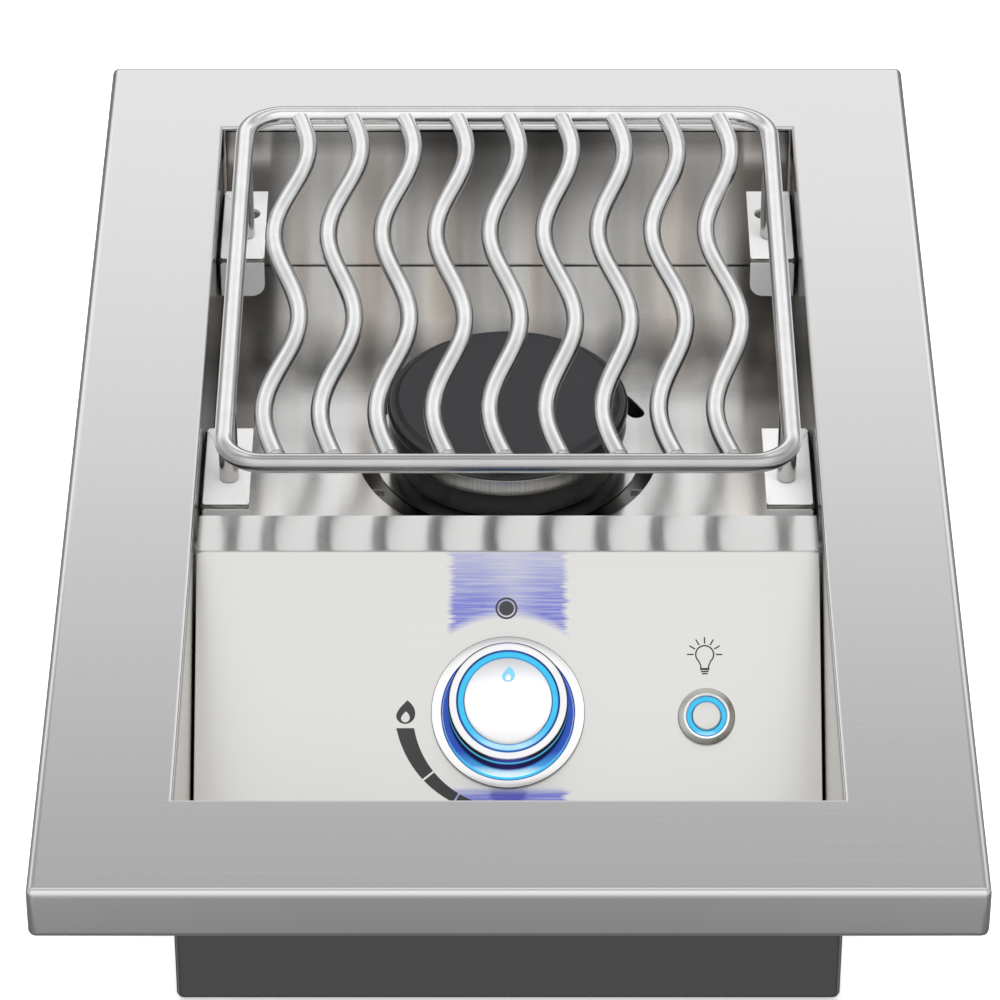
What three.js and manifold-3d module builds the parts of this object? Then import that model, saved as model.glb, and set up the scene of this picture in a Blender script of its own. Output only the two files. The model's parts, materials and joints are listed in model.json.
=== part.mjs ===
// Built-in gas side burner: a stainless drop-in box with a wide trim frame, one round burner
// under a lift-off wave grate, and a sloping control panel with a lit dial and a light switch.
// Millimetres. +X is right, +Y is back, +Z is up. The origin is on the underside of the casing,
// in the middle of the trim frame's outline.

import * as THREE from 'three';
import { mergeVertices } from 'three/addons/utils/BufferGeometryUtils.js';
import Module from 'manifold-3d';

const wasm = await Module();
wasm.setup();

// Clearances
const seatGap = 0.3;
const runningGap = 0.4;
const overrun = 2;

// Facet counts
const bendFacets = 2;
const rodSides = 8;
const boltSides = 16;
const switchSides = 24;
const roundSides = 36;
const slotFacets = 7;
const waveSteps = 20;
const cornerSteps = 4;

// Trim frame
const trimWidth = 355.6;
const sideBorder = 50.8;
const frontBorder = 52.8;
const backBorder = 50.8;
const openingLength = 461;
const trimSheet = 1.2;
const apronHeight = 23;
const apronLip = 9;
const trimCornerRadius = 3.4;
const trimBendRadius = 2.6;
const openingCornerRadius = 1.5;

// Casing
const casingHeight = 100;
const casingSheet = 1;
const casingFlange = 14;
const casingCornerRadius = 1.8;
const casingBendRadius = 1.8;
const ventCount = 4;
const ventPitch = 26;
const ventLength = 40;
const ventWidth = 5;
const ventInset = 60;

// Control panel
const ledgeDrop = 20;
const ledgeLength = 24.3;
const frontBayLength = 202.7;
const panelSlope = THREE.MathUtils.degToRad(41);
const panelSheet = 1.2;
const panelSideGap = 1.8;
const panelBendRadius = 1.2;
const panelFoot = 16;
const panelScrewInset = 30;

// Burner deck
const deckDrop = 74;
const deckSheet = 1;
const deckGap = 0.8;
const deckBendRadius = 1.5;
const slotFromCup = 9.4;
const slotWidth = 7.4;
const slotRearAngle = THREE.MathUtils.degToRad(24.5);
const slotFrontAngle = THREE.MathUtils.degToRad(12.5);

// Burner
const burnerBeforeGrateMiddle = 1.1;
const capRadius = 51.6;
const capRim = 7;
const capEdge = 2.4;
const capDome = 0.8;
const capCrownWall = 4;
const capSkirtRadius = 43.5;
const capSkirtWall = 2;
const capSkirtDepth = 4;
const headRise = 12.4;
const headHeight = 7.8;
const headRadius = 51;
const headWall = 5;
const headSpigotRadius = 45;
const headSpigotWall = 2;
const headSpigotDepth = 5;
const portCount = 24;
const portWidth = 2.2;
const portDepth = 1.6;
const cupRadius = 48.4;
const cupWall = 2.6;
const cupHoleGap = 0.6;
const cupShoulderDepth = 9;
const bossRadius = 16;
const bossHeight = 3;
const bowlFootRadius = 34;
const bowlFootRise = 6;

// Gas line
const lineRise = 12.2;
const tubeRadius = 9.5;
const tubeWall = 1.3;
const tubeLap = 12;
const spigotReach = 66;
const spigotWall = 1.5;
const mouthFromLedge = 20;
const shutterWall = 1;
const shutterLength = 16;
const shutterOverhang = 5;
const airWindowLength = 9;
const airWindowWidth = 7;
const lineHoleGap = 1.2;
const orificeRadius = 4.6;
const orificeLength = 12;
const orificeTipRadius = 2.6;
const orificeTipLength = 3;
const pipeRadius = 4.75;
const pipeBore = 3.6;
const pipeBend = 16;
const pipeFromWall = 27;
const fittingHexRadius = 10;
const fittingHexLength = 8;
const fittingThreadRadius = 7.2;
const fittingOutside = 22;
const fittingBore = 3;
const fittingSocketRadius = 5;
const fittingSocketDepth = 17;
const nutThickness = 5;

// Dial and valve
const dialDownSlope = 66.1;
const bezelRadius = 31;
const bezelInnerRadius = 26.4;
const bezelHeight = 5;
const glowInnerRadius = 20;
const glowHeight = 2.4;
const knobRadius = 24;
const knobLift = 6;
const knobHeight = 22;
const knobWall = 2.6;
const knobCrown = 5;
const knobRecess = 2.4;
const knobEdge = 1;
const knobBossRadius = 6.8;
const knobBossLift = 2;
const knobRingWidth = 3;
const knobRingProud = 0.3;
const knobFaceRadius = 17.3;
const knobFaceDome = 2.6;
const stemRadius = 3;
const stemDepth = 19;
const rotorRadius = 6.5;
const rotorTop = 13;
const rotorLength = 17;
const rotorPort = 2;
const rotorSocket = 11;
const valveFlangeWidth = 42;
const valveFlangeHeight = 20;
const valveFlangeThickness = 3;
const valveWidth = 24;
const valveHeight = 22;
const valveDepth = 34;
const valveBossRadius = 6.5;
const valveOutletReach = 13;
const valveInletReach = 8;
const valveScrewOffset = 16;
const screwHeadRadius = 3;
const screwHeadHeight = 1.7;
const screwRadius = 1.6;
const screwLength = 6.5;

// Light switch
const switchFromWall = 47.4;
const switchDownSlope = 67.7;
const switchFlangeRadius = 11.5;
const switchFlangeHeight = 2.3;
const switchBarrelRadius = 7.8;
const switchDepth = 20;
const switchRingRadius = 8.2;
const switchRingHeight = 1.7;
const switchSeatHeight = 0.6;
const switchRingWidth = 2.5;
const switchCapProud = 0.6;
const switchCapLength = 8;
const switchWell = 10;
const switchNutRadius = 10.5;
const switchNutThickness = 4;

// Grate
const grateRise = 12.5;
const grateSideGap = 8;
const grateBackGap = 5.3;
const grateOverLedge = 12.2;
const ringRod = 8;
const ringBend = 17;
const waveRod = 7.8;
const waveCount = 9;
const waveMargin = 18.9;
const waveOffset = -1.2;
const waveLength = 128.7;
const waveSwing = 6.3;
const waveCrestInset = 28.1;
const frontLegInset = 41.6;
const rearLegInset = 37.3;

// Grate brackets
const bracketDrop = 26;
const bracketReach = 20.4;
const bracketLength = 54;
const bracketFlange = 19;
const bracketSheet = 1.5;
const bracketBendRadius = 1.6;
const bracketCornerRadius = 6;
const footFromBracketFront = 19.4;
const bracketHoleRadius = 4.2;
const bracketHoleStep = 16.8;
const bracketHoleInset = 1.7;

// Igniter and electrics
const electrodeOffset = 55.2;
const insulatorRadius = 2.5;
const insulatorTop = 12;
const insulatorBottom = 16;
const sparkRadius = 0.9;
const sparkRise = 5;
const sparkReach = 2;
const clipSheet = 1;
const clipWidth = 14;
const clipLength = 10;
const leadRadius = 1.6;
const moduleWidth = 46;
const moduleLength = 24;
const moduleHeight = 18;
const leadFromCup = 25.1;
const electricsFromLedge = 10;
const boxCornerRadius = 2;

// Places worked out from the sizes
const openingWidth = trimWidth - 2 * sideBorder;
const trimLength = frontBorder + openingLength + backBorder;
const frontEdge = -trimLength / 2;
const openingFront = frontEdge + frontBorder;
const openingBack = openingFront + openingLength;
const wallX = openingWidth / 2;
const topZ = casingHeight;
const floorZ = casingSheet;
const ledgeZ = topZ - ledgeDrop;
const ledgeBack = openingFront + frontBayLength;
const ledgeFront = ledgeBack - ledgeLength;
const deckZ = topZ - deckDrop;
const deckFront = ledgeBack + deckGap;
const deckBack = openingBack - deckGap;
const grateFront = ledgeBack - grateOverLedge;
const grateBack = openingBack - grateBackGap;
const burnerY = (grateFront + grateBack) / 2 - burnerBeforeGrateMiddle;
const slotInnerRadius = cupRadius + slotFromCup;
const slotOuterRadius = slotInnerRadius + slotWidth;
const headZ = deckZ + headRise;
const capZ = headZ + headHeight + seatGap;
const lineZ = floorZ + lineRise;
const pipeX = -wallX + pipeFromWall;
const grateZ = topZ + grateRise;
const ringX = wallX - grateSideGap - ringRod / 2;
const ringBackY = grateBack - ringRod / 2;
const ringFrontY = grateFront + ringRod / 2;
const bracketZ = topZ - bracketDrop;
const electricsBack = ledgeBack - electricsFromLedge;
const igniterLeadX = cupRadius + leadFromCup;
const moduleX = igniterLeadX - moduleWidth / 4;
const panelFootZ = floorZ + seatGap + panelSheet;

// Materials
const brushedSteel = new THREE.MeshStandardMaterial({ color: 0xc9c9c6, roughness: 0.34, metalness: 1 });
const paleSteel = new THREE.MeshStandardMaterial({ color: 0xdcdbd6, roughness: 0.38, metalness: 1 });
const satinRod = new THREE.MeshStandardMaterial({ color: 0xe4e4e6, roughness: 0.28, metalness: 1 });
const darkSteel = new THREE.MeshStandardMaterial({ color: 0x474747, roughness: 0.5, metalness: 0.8 });
const blackEnamel = new THREE.MeshStandardMaterial({ color: 0x3b3b3d, roughness: 0.55, metalness: 0 });
const castAlloy = new THREE.MeshStandardMaterial({ color: 0x8f8f8d, roughness: 0.45, metalness: 1 });
const brass = new THREE.MeshStandardMaterial({ color: 0xb89a55, roughness: 0.35, metalness: 1 });
const chrome = new THREE.MeshStandardMaterial({ color: 0xe8eaec, roughness: 0.12, metalness: 1 });
const satinSilver = new THREE.MeshStandardMaterial({ color: 0xe2e5ea, roughness: 0.3, metalness: 0.9 });
const ceramic = new THREE.MeshStandardMaterial({ color: 0xf1efe8, roughness: 0.4, metalness: 0 });
const blackPlastic = new THREE.MeshStandardMaterial({ color: 0x1d1d1f, roughness: 0.6, metalness: 0 });
const leadSleeve = new THREE.MeshStandardMaterial({ color: 0x8c1f1c, roughness: 0.6, metalness: 0 });
const litBlue = new THREE.MeshStandardMaterial({ color: 0x39bef5, emissive: 0x1f8fe0, roughness: 0.3 });

// Solids and meshes

function signedVolume(position, index) {
  const corners = [new THREE.Vector3(), new THREE.Vector3(), new THREE.Vector3()];
  let volume = 0;
  for (let i = 0; i < index.length; i += 3) {
    corners.forEach((corner, k) => corner.fromBufferAttribute(position, index[i + k]));
    volume += corners[0].dot(corners[1].cross(corners[2])) / 6;
  }
  return volume;
}

// A closed three.js geometry as a solid, whichever way round its faces were wound
function solid(geometry) {
  const bare = geometry.clone();
  for (const name of Object.keys(bare.attributes)) {
    if (name !== 'position') bare.deleteAttribute(name);
  }
  const merged = mergeVertices(bare);
  const position = merged.getAttribute('position');
  const source = merged.getIndex().array;
  const triangles = [];
  for (let i = 0; i < source.length; i += 3) {
    const [a, b, c] = [source[i], source[i + 1], source[i + 2]];
    if (a !== b && b !== c && c !== a) triangles.push(a, b, c);
  }
  if (signedVolume(position, triangles) < 0) triangles.reverse();
  const vertProperties = new Float32Array(position.array);
  const triVerts = new Uint32Array(triangles);
  return new wasm.Manifold(new wasm.Mesh({ numProp: 3, vertProperties, triVerts }));
}

function union(solids) {
  return solids.reduce((whole, piece) => whole.add(piece));
}

function cut(body, cutters) {
  return cutters.reduce((rest, cutter) => rest.subtract(cutter), body);
}

function named(name, body, material) {
  const result = body.getMesh();
  const geometry = new THREE.BufferGeometry();
  geometry.setAttribute('position', new THREE.BufferAttribute(new Float32Array(result.vertProperties), 3));
  geometry.setIndex(new THREE.BufferAttribute(new Uint32Array(result.triVerts), 1));
  geometry.computeVertexNormals();
  const mesh = new THREE.Mesh(geometry, material);
  mesh.name = name;
  return mesh;
}

// Outlines and basic forms

// A closed outline from corners [x, y, radius], each rounded by its own radius
function roundedOutline(corners) {
  const shape = new THREE.Shape();
  const points = corners.map(([x, y]) => new THREE.Vector2(x, y));
  corners.forEach(([, , radius], i) => {
    const point = points[i];
    if (radius <= 0) {
      if (i === 0) shape.moveTo(point.x, point.y);
      else shape.lineTo(point.x, point.y);
      return;
    }
    const toLast = points.at(i - 1).clone().sub(point).normalize();
    const toNext = points[(i + 1) % points.length].clone().sub(point).normalize();
    const half = Math.acos(THREE.MathUtils.clamp(toLast.dot(toNext), -1, 1)) / 2;
    const start = point.clone().addScaledVector(toLast, radius / Math.tan(half));
    const end = point.clone().addScaledVector(toNext, radius / Math.tan(half));
    const inward = toLast.clone().add(toNext).normalize();
    const centre = point.clone().addScaledVector(inward, radius / Math.sin(half));
    const from = start.sub(centre).angle();
    const to = end.sub(centre).angle();
    shape.absarc(centre.x, centre.y, radius, from, to, toLast.cross(toNext) > 0);
  });
  shape.closePath();
  return shape;
}

function rectangle(width, length, radius) {
  const x = width / 2;
  const y = length / 2;
  return roundedOutline([[-x, -y, radius], [x, -y, radius], [x, y, radius], [-x, y, radius]]);
}

// A flat shape given height, standing on z
function slab(shape, height, z = 0, facets = bendFacets) {
  const options = { depth: height, bevelEnabled: false, curveSegments: facets };
  const geometry = new THREE.ExtrudeGeometry(shape, options);
  return geometry.translate(0, 0, z);
}

// A block whose upright corners and whose top and bottom edges are rounded, standing on z = 0
function roundedBlock(width, length, height, corner, edge) {
  const outline = rectangle(width - 2 * edge, length - 2 * edge, corner - edge);
  const geometry = new THREE.ExtrudeGeometry(outline, {
    depth: height - 2 * edge,
    bevelThickness: edge,
    bevelSize: edge,
    bevelSegments: bendFacets,
    curveSegments: bendFacets,
  });
  return geometry.translate(0, 0, edge);
}

function block(width, length, height, x, y, z) {
  return new THREE.BoxGeometry(width, length, height).translate(x, y, z + height / 2);
}

// An upright cylinder standing on z
function post(radius, height, x, y, z, sides = boltSides) {
  return new THREE.CylinderGeometry(radius, radius, height, sides)
    .rotateX(Math.PI / 2)
    .translate(x, y, z + height / 2);
}

// A cylinder along +Y from y
function bar(radius, length, x, y, z, sides = boltSides) {
  return new THREE.CylinderGeometry(radius, radius, length, sides).translate(x, y + length / 2, z);
}

// A cylinder along -X from x
function crossBar(radius, length, x, y, z, sides = boltSides) {
  return new THREE.CylinderGeometry(radius, radius, length, sides)
    .rotateZ(Math.PI / 2)
    .translate(x - length / 2, y, z);
}

// A turned form from points [radius, z], about the Z axis
function turned(profile, sides = roundSides) {
  const points = profile.map(([radius, z]) => new THREE.Vector2(radius, z));
  const onAxis = profile[0][0] === 0 && profile.at(-1)[0] === 0;
  if (!onAxis) points.push(points[0].clone());
  return new THREE.LatheGeometry(points, sides).rotateX(Math.PI / 2);
}

// The outline of a bent sheet: its outer face follows the path, its thickness lies to the right of it
function sheetOutline(path, thickness, bend) {
  const points = path.map(([u, v]) => new THREE.Vector2(u, v));
  const ways = points.slice(1).map((point, i) => point.clone().sub(points[i]).normalize());
  const sides = ways.map((way) => new THREE.Vector2(way.y, -way.x));
  const outer = [];
  const inner = [];
  points.forEach((point, i) => {
    const before = sides[Math.max(i - 1, 0)];
    const after = sides[Math.min(i, sides.length - 1)];
    const across = before.clone().add(after).multiplyScalar(thickness / (1 + before.dot(after)));
    const middle = i > 0 && i < points.length - 1;
    const turn = middle ? ways[i - 1].cross(ways[i]) : 0;
    const outerRadius = turn < 0 ? bend + thickness : bend;
    const innerRadius = turn < 0 ? bend : bend + thickness;
    outer.push([point.x, point.y, middle ? outerRadius : 0]);
    inner.push([point.x + across.x, point.y + across.y, middle ? innerRadius : 0]);
  });
  return roundedOutline([...outer, ...inner.reverse()]);
}

// A profile drawn in (Y, Z) and run along X, centred on x
function runAlongX(shape, width, x = 0) {
  const basis = new THREE.Matrix4().makeBasis(
    new THREE.Vector3(0, 1, 0), new THREE.Vector3(0, 0, 1), new THREE.Vector3(1, 0, 0));
  return slab(shape, width, -width / 2).applyMatrix4(basis).translate(x, 0, 0);
}

// A profile drawn in (X, Z) and run along Y from y
function runAlongY(shape, length, y) {
  return slab(shape, length, -length).rotateX(Math.PI / 2).translate(0, y, 0);
}

// A route whose stations are the rings of the rod swept along it
class StationRoute extends THREE.Curve {
  constructor(stations) {
    super();
    this.stations = stations;
  }

  getPoint(t, target = new THREE.Vector3()) {
    const place = t * (this.stations.length - 1);
    const index = Math.min(Math.floor(place), this.stations.length - 2);
    return target.lerpVectors(this.stations[index].point, this.stations[index + 1].point, place - index);
  }

  getTangent(t, target = new THREE.Vector3()) {
    return target.copy(this.stations[Math.round(t * (this.stations.length - 1))].way);
  }

  getUtoTmapping(u) {
    return u;
  }
}

// Stations along straight runs between corner points, each corner bent to one radius
function bentRoute(places, bend, steps = cornerSteps) {
  const points = places.map((place) => new THREE.Vector3(...place));
  const ways = points.slice(1).map((point, i) => point.clone().sub(points[i]).normalize());
  const stations = [{ point: points[0], way: ways[0] }];
  for (let i = 1; i < points.length - 1; i += 1) {
    const angle = ways[i - 1].angleTo(ways[i]);
    const start = points[i].clone().addScaledVector(ways[i - 1], -bend * Math.tan(angle / 2));
    const inward = ways[i].clone().addScaledVector(ways[i - 1], -Math.cos(angle)).normalize();
    for (let k = 0; k <= steps; k += 1) {
      const turn = (angle * k) / steps;
      const point = start.clone()
        .addScaledVector(ways[i - 1], bend * Math.sin(turn))
        .addScaledVector(inward, bend * (1 - Math.cos(turn)));
      const way = ways[i - 1].clone().multiplyScalar(Math.cos(turn))
        .addScaledVector(inward, Math.sin(turn));
      stations.push({ point, way });
    }
  }
  stations.push({ point: points.at(-1), way: ways.at(-1) });
  return stations;
}

function circle(radius) {
  return new THREE.Shape().absarc(0, 0, radius, 0, 2 * Math.PI);
}

function rod(stations, radius, sides = rodSides) {
  return new THREE.ExtrudeGeometry(circle(radius), {
    steps: stations.length - 1,
    extrudePath: new StationRoute(stations),
    curveSegments: sides / 2,
  });
}

// The frame of a fitting on the sloping panel: +Z out of the panel, +Y up its slope
function panelFrame(x, downSlope) {
  const frame = new THREE.Group();
  frame.position.set(
    x,
    ledgeFront - downSlope * Math.cos(panelSlope),
    ledgeZ - downSlope * Math.sin(panelSlope));
  frame.rotation.x = panelSlope;
  frame.updateMatrix();
  return frame;
}

const dialFrame = panelFrame(0, dialDownSlope);
const switchFrame = panelFrame(wallX - switchFromWall, switchDownSlope);

// Trim frame, casing, panel and deck

function trimFrame() {
  const baseZ = topZ - apronHeight;
  const skin = solid(roundedBlock(trimWidth, trimLength, apronHeight, trimCornerRadius, trimBendRadius));
  const hollow = solid(roundedBlock(
    trimWidth - 2 * trimSheet, trimLength - 2 * trimSheet, apronHeight - 2 * trimSheet,
    trimCornerRadius - trimSheet, trimBendRadius - trimSheet).translate(0, 0, trimSheet));
  const under = slab(rectangle(trimWidth - 2 * apronLip, trimLength - 2 * apronLip, trimCornerRadius),
    trimSheet + 2 * overrun, -overrun);
  const middleY = (openingFront + openingBack) / 2;
  const opening = slab(rectangle(openingWidth, openingLength, openingCornerRadius),
    trimSheet + 2 * overrun, apronHeight - trimSheet - overrun).translate(0, middleY, 0);
  return cut(skin, [hollow, solid(under), solid(opening)]).translate([0, 0, baseZ]);
}

function casing() {
  const middleY = (openingFront + openingBack) / 2;
  const wallTop = topZ - trimSheet - seatGap;
  const outerWidth = openingWidth + 2 * casingSheet;
  const outerLength = openingLength + 2 * casingSheet;
  const outerCorner = casingCornerRadius + casingSheet;
  const box = solid(roundedBlock(outerWidth, outerLength, wallTop + casingBendRadius,
    outerCorner, casingBendRadius));
  const flange = solid(slab(rectangle(outerWidth + 2 * casingFlange, outerLength + 2 * casingFlange,
    outerCorner), casingSheet, wallTop - casingSheet));
  const lid = solid(block(2 * outerWidth, 2 * outerLength, overrun + casingBendRadius, 0, 0, wallTop));
  const hollow = solid(roundedBlock(openingWidth, openingLength, casingHeight + casingBendRadius,
    casingCornerRadius, casingBendRadius - casingSheet).translate(0, 0, floorZ));
  const inletHole = solid(bar(fittingThreadRadius + seatGap, casingSheet + 2 * overrun,
    pipeX, openingBack - middleY - overrun, lineZ));
  const vents = Array.from({ length: ventCount }, (_, i) => {
    const y = openingLength / 2 - ventInset - i * ventPitch;
    const outline = rectangle(ventLength, ventWidth, 0);
    return [1, -1].map((side) => solid(slab(outline, casingSheet + 2 * overrun, -overrun)
      .translate(side * (wallX / 2 + ventLength / 4), y, 0)));
  });
  const screwHoles = [1, -1].map((side) => solid(post(screwRadius + seatGap, casingSheet + 2 * overrun,
    side * (wallX - panelScrewInset), panelFootMiddle() - middleY, -overrun)));
  const body = union([box, flange]);
  return cut(body, [lid, hollow, inletHole, ...vents.flat(), ...screwHoles]).translate([0, middleY, 0]);
}

// The panel's slope meets its foot at this Y
function panelFootBack() {
  return ledgeFront - (ledgeZ - panelFootZ) / Math.tan(panelSlope);
}

function panelFootMiddle() {
  return panelFootBack() - panelFoot / 2;
}

function controlPanel() {
  const footBack = panelFootBack();
  const outline = sheetOutline([
    [footBack - panelFoot, panelFootZ],
    [footBack, panelFootZ],
    [ledgeFront, ledgeZ],
    [ledgeBack, ledgeZ],
    [ledgeBack, floorZ + seatGap],
  ], panelSheet, panelBendRadius);
  const sheet = solid(runAlongX(outline, openingWidth - 2 * panelSideGap));
  const depth = 2 * (panelSheet + overrun);
  const bore = (radius, frame, x = 0) => solid(
    post(radius, depth, x, 0, -depth / 2).applyMatrix4(frame.matrix));
  return cut(sheet, [
    bore(stemRadius + 3 * runningGap, dialFrame),
    bore(screwRadius + seatGap, dialFrame, valveScrewOffset),
    bore(screwRadius + seatGap, dialFrame, -valveScrewOffset),
    bore(leadRadius, dialFrame, dialLeadX()),
    bore(switchBarrelRadius + seatGap, switchFrame),
    wallNotch(tubeRadius, 0, ledgeBack),
    wallNotch(pipeRadius, pipeX, ledgeBack),
    wallNotch(leadRadius, igniterLeadX, ledgeBack),
    ...[1, -1].map((side) => solid(post(screwRadius + seatGap, 2 * overrun,
      side * (wallX - panelScrewInset), panelFootMiddle(), floorZ))),
  ]);
}

// A notch through an upright flange at y, round at the gas line's height and open at the foot
function wallNotch(radius, x, y) {
  const wide = radius + lineHoleGap;
  const outline = new THREE.Shape();
  outline.moveTo(-wide, -lineZ);
  outline.lineTo(wide, -lineZ);
  outline.absarc(0, 0, wide, 0, Math.PI, false);
  outline.closePath();
  const depth = 2 * (deckSheet + panelSheet);
  return solid(slab(outline, depth, -depth / 2, boltSides / 2).rotateX(Math.PI / 2).translate(x, y, lineZ));
}

function arcSlot(from, to) {
  const end = (slotOuterRadius - slotInnerRadius) / 2;
  const middle = (slotOuterRadius + slotInnerRadius) / 2;
  const shape = new THREE.Shape();
  shape.absarc(0, 0, slotOuterRadius, from, to, false);
  shape.absarc(middle * Math.cos(to), middle * Math.sin(to), end, to, to + Math.PI, false);
  shape.absarc(0, 0, slotInnerRadius, to, from, true);
  shape.absarc(middle * Math.cos(from), middle * Math.sin(from), end,
    from + Math.PI, from + 2 * Math.PI, false);
  return shape;
}

function burnerDeck() {
  const footZ = floorZ + seatGap;
  const outline = sheetOutline([
    [deckFront, footZ],
    [deckFront, deckZ],
    [deckBack, deckZ],
    [deckBack, footZ],
  ], deckSheet, deckBendRadius);
  const sheet = solid(runAlongX(outline, openingWidth - 2 * deckGap));
  const depth = deckSheet + 2 * overrun;
  const spans = [
    [slotRearAngle, Math.PI - slotRearAngle],
    [Math.PI + slotFrontAngle, 2 * Math.PI - slotFrontAngle],
  ];
  const slots = spans.map(([from, to]) => solid(
    slab(arcSlot(from, to), depth, deckZ - depth + overrun, slotFacets).translate(0, burnerY, 0)));
  const cupHole = solid(post(cupRadius + cupHoleGap, depth, 0, burnerY,
    deckZ - depth + overrun, roundSides));
  const sparkHole = solid(post(insulatorRadius + runningGap, depth, 0, burnerY + electrodeOffset,
    deckZ - depth + overrun));
  return cut(sheet, [
    cupHole, sparkHole, ...slots,
    wallNotch(tubeRadius, 0, deckFront),
    wallNotch(pipeRadius, pipeX, deckFront),
    wallNotch(leadRadius, igniterLeadX, deckFront),
    wallNotch(fittingHexRadius, pipeX, deckBack),
  ]);
}

function panelScrew(side) {
  const head = solid(post(screwHeadRadius, screwHeadHeight, 0, 0, panelFootZ + seatGap));
  const shank = solid(post(screwRadius, panelFootZ + 2 * seatGap, 0, 0, seatGap));
  return head.add(shank).translate([side * (wallX - panelScrewInset), panelFootMiddle(), 0]);
}

// Grate and its brackets

function legPlaces() {
  return [
    ['front_left', -1, ringFrontY + frontLegInset],
    ['front_right', 1, ringFrontY + frontLegInset],
    ['rear_left', -1, ringBackY - rearLegInset],
    ['rear_right', 1, ringBackY - rearLegInset],
  ];
}

function ringHalf(side) {
  const x = side * ringX;
  const stations = bentRoute([
    [-side * seatGap, ringFrontY, grateZ],
    [x, ringFrontY, grateZ],
    [x, ringBackY, grateZ],
    [-side * seatGap, ringBackY, grateZ],
  ], ringBend);
  return solid(rod(stations, ringRod / 2));
}

function waveX(index) {
  const span = 2 * (ringX - ringRod / 2 - waveMargin);
  return waveOffset - span / 2 + (span * index) / (waveCount - 1);
}

function waveBar(index) {
  const start = ringFrontY + ringRod / 2 + seatGap;
  const end = ringBackY - ringRod / 2 - seatGap;
  const crest = ringBackY - waveCrestInset;
  const stations = Array.from({ length: waveSteps + 1 }, (_, i) => {
    const y = start + ((end - start) * i) / waveSteps;
    const phase = (2 * Math.PI * (y - crest)) / waveLength;
    const point = new THREE.Vector3(waveX(index) + waveSwing * Math.cos(phase), y, grateZ);
    const lean = (-waveSwing * 2 * Math.PI * Math.sin(phase)) / waveLength;
    const square = i === 0 || i === waveSteps;
    return { point, way: new THREE.Vector3(square ? 0 : lean, 1, 0).normalize() };
  });
  return solid(rod(stations, waveRod / 2));
}

function grateLeg(side, y) {
  const bottom = bracketZ + seatGap;
  const top = grateZ - ringRod / 2 - seatGap;
  return solid(post(ringRod / 2, top - bottom, side * ringX, y, bottom));
}

function grateBracket(side, legY) {
  const front = legY - footFromBracketFront;
  const wall = wallX - seatGap;
  const inner = wall - bracketReach;
  const tabbed = sheetOutline([
    [inner, bracketZ],
    [wall, bracketZ],
    [wall, bracketZ - bracketFlange],
  ], bracketSheet, bracketBendRadius);
  const tabStart = front + bracketSheet + bracketBendRadius;
  const plate = solid(runAlongY(tabbed, bracketLength - bracketSheet - bracketBendRadius, tabStart));
  const lip = sheetOutline([
    [front, bracketZ - bracketFlange],
    [front, bracketZ],
    [front + bracketLength / 2, bracketZ],
  ], bracketSheet, bracketBendRadius);
  const lipWidth = bracketReach - bracketSheet - bracketBendRadius - seatGap;
  const corner = solid(cornerCutter().translate(inner, front, bracketZ - bracketFlange));
  const flange = solid(runAlongX(lip, lipWidth, inner + lipWidth / 2)).subtract(corner);
  const hole = solid(post(bracketHoleRadius, bracketSheet + 2 * overrun, ringX - bracketHoleInset,
    legY + bracketHoleStep, bracketZ - bracketSheet - overrun));
  const right = union([plate, flange]).subtract(hole);
  return side > 0 ? right : right.mirror([1, 0, 0]);
}

// What rounds off the lower inner corner of a bracket's front flange
function cornerCutter() {
  const radius = bracketCornerRadius;
  const shape = new THREE.Shape();
  shape.moveTo(-overrun, -overrun);
  shape.lineTo(radius, -overrun);
  shape.lineTo(radius, 0);
  shape.absarc(radius, radius, radius, 1.5 * Math.PI, Math.PI, true);
  shape.lineTo(-overrun, radius);
  shape.closePath();
  const depth = bracketSheet + 2 * overrun;
  return slab(shape, depth, -depth + overrun).rotateX(Math.PI / 2);
}

// Burner

function burnerCap() {
  const top = capZ + capRim;
  const slope = capEdge / 2;
  return turned([
    [0, top + capDome],
    [(capRadius - capEdge) / 2, top + capDome * 0.75],
    [capRadius - capEdge, top],
    [capRadius - capEdge * 0.35, top - capEdge * 0.3],
    [capRadius, top - capEdge],
    [capRadius, capZ + slope],
    [capRadius - slope, capZ],
    [capSkirtRadius, capZ],
    [capSkirtRadius, capZ - capSkirtDepth],
    [capSkirtRadius - capSkirtWall, capZ - capSkirtDepth],
    [capSkirtRadius - capSkirtWall, top - capCrownWall],
    [0, top - capCrownWall],
  ]);
}

function burnerHead() {
  const top = headZ + headHeight;
  const bore = headRadius - headWall;
  const ring = solid(turned([
    [bore, top],
    [headRadius, top],
    [headRadius, headZ],
    [headSpigotRadius, headZ],
    [headSpigotRadius, headZ - headSpigotDepth],
    [headSpigotRadius - headSpigotWall, headZ - headSpigotDepth],
    [headSpigotRadius - headSpigotWall, headZ + headWall / 2],
    [bore, headZ + headWall],
  ]));
  const portMiddle = headRadius - headWall / 2;
  const ports = Array.from({ length: portCount }, (_, i) => solid(
    block(headWall + 2 * overrun, portWidth, portDepth + overrun, portMiddle, 0, top - portDepth)
      .rotateZ((2 * Math.PI * i) / portCount)));
  return cut(ring, [union(ports)]);
}

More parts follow.
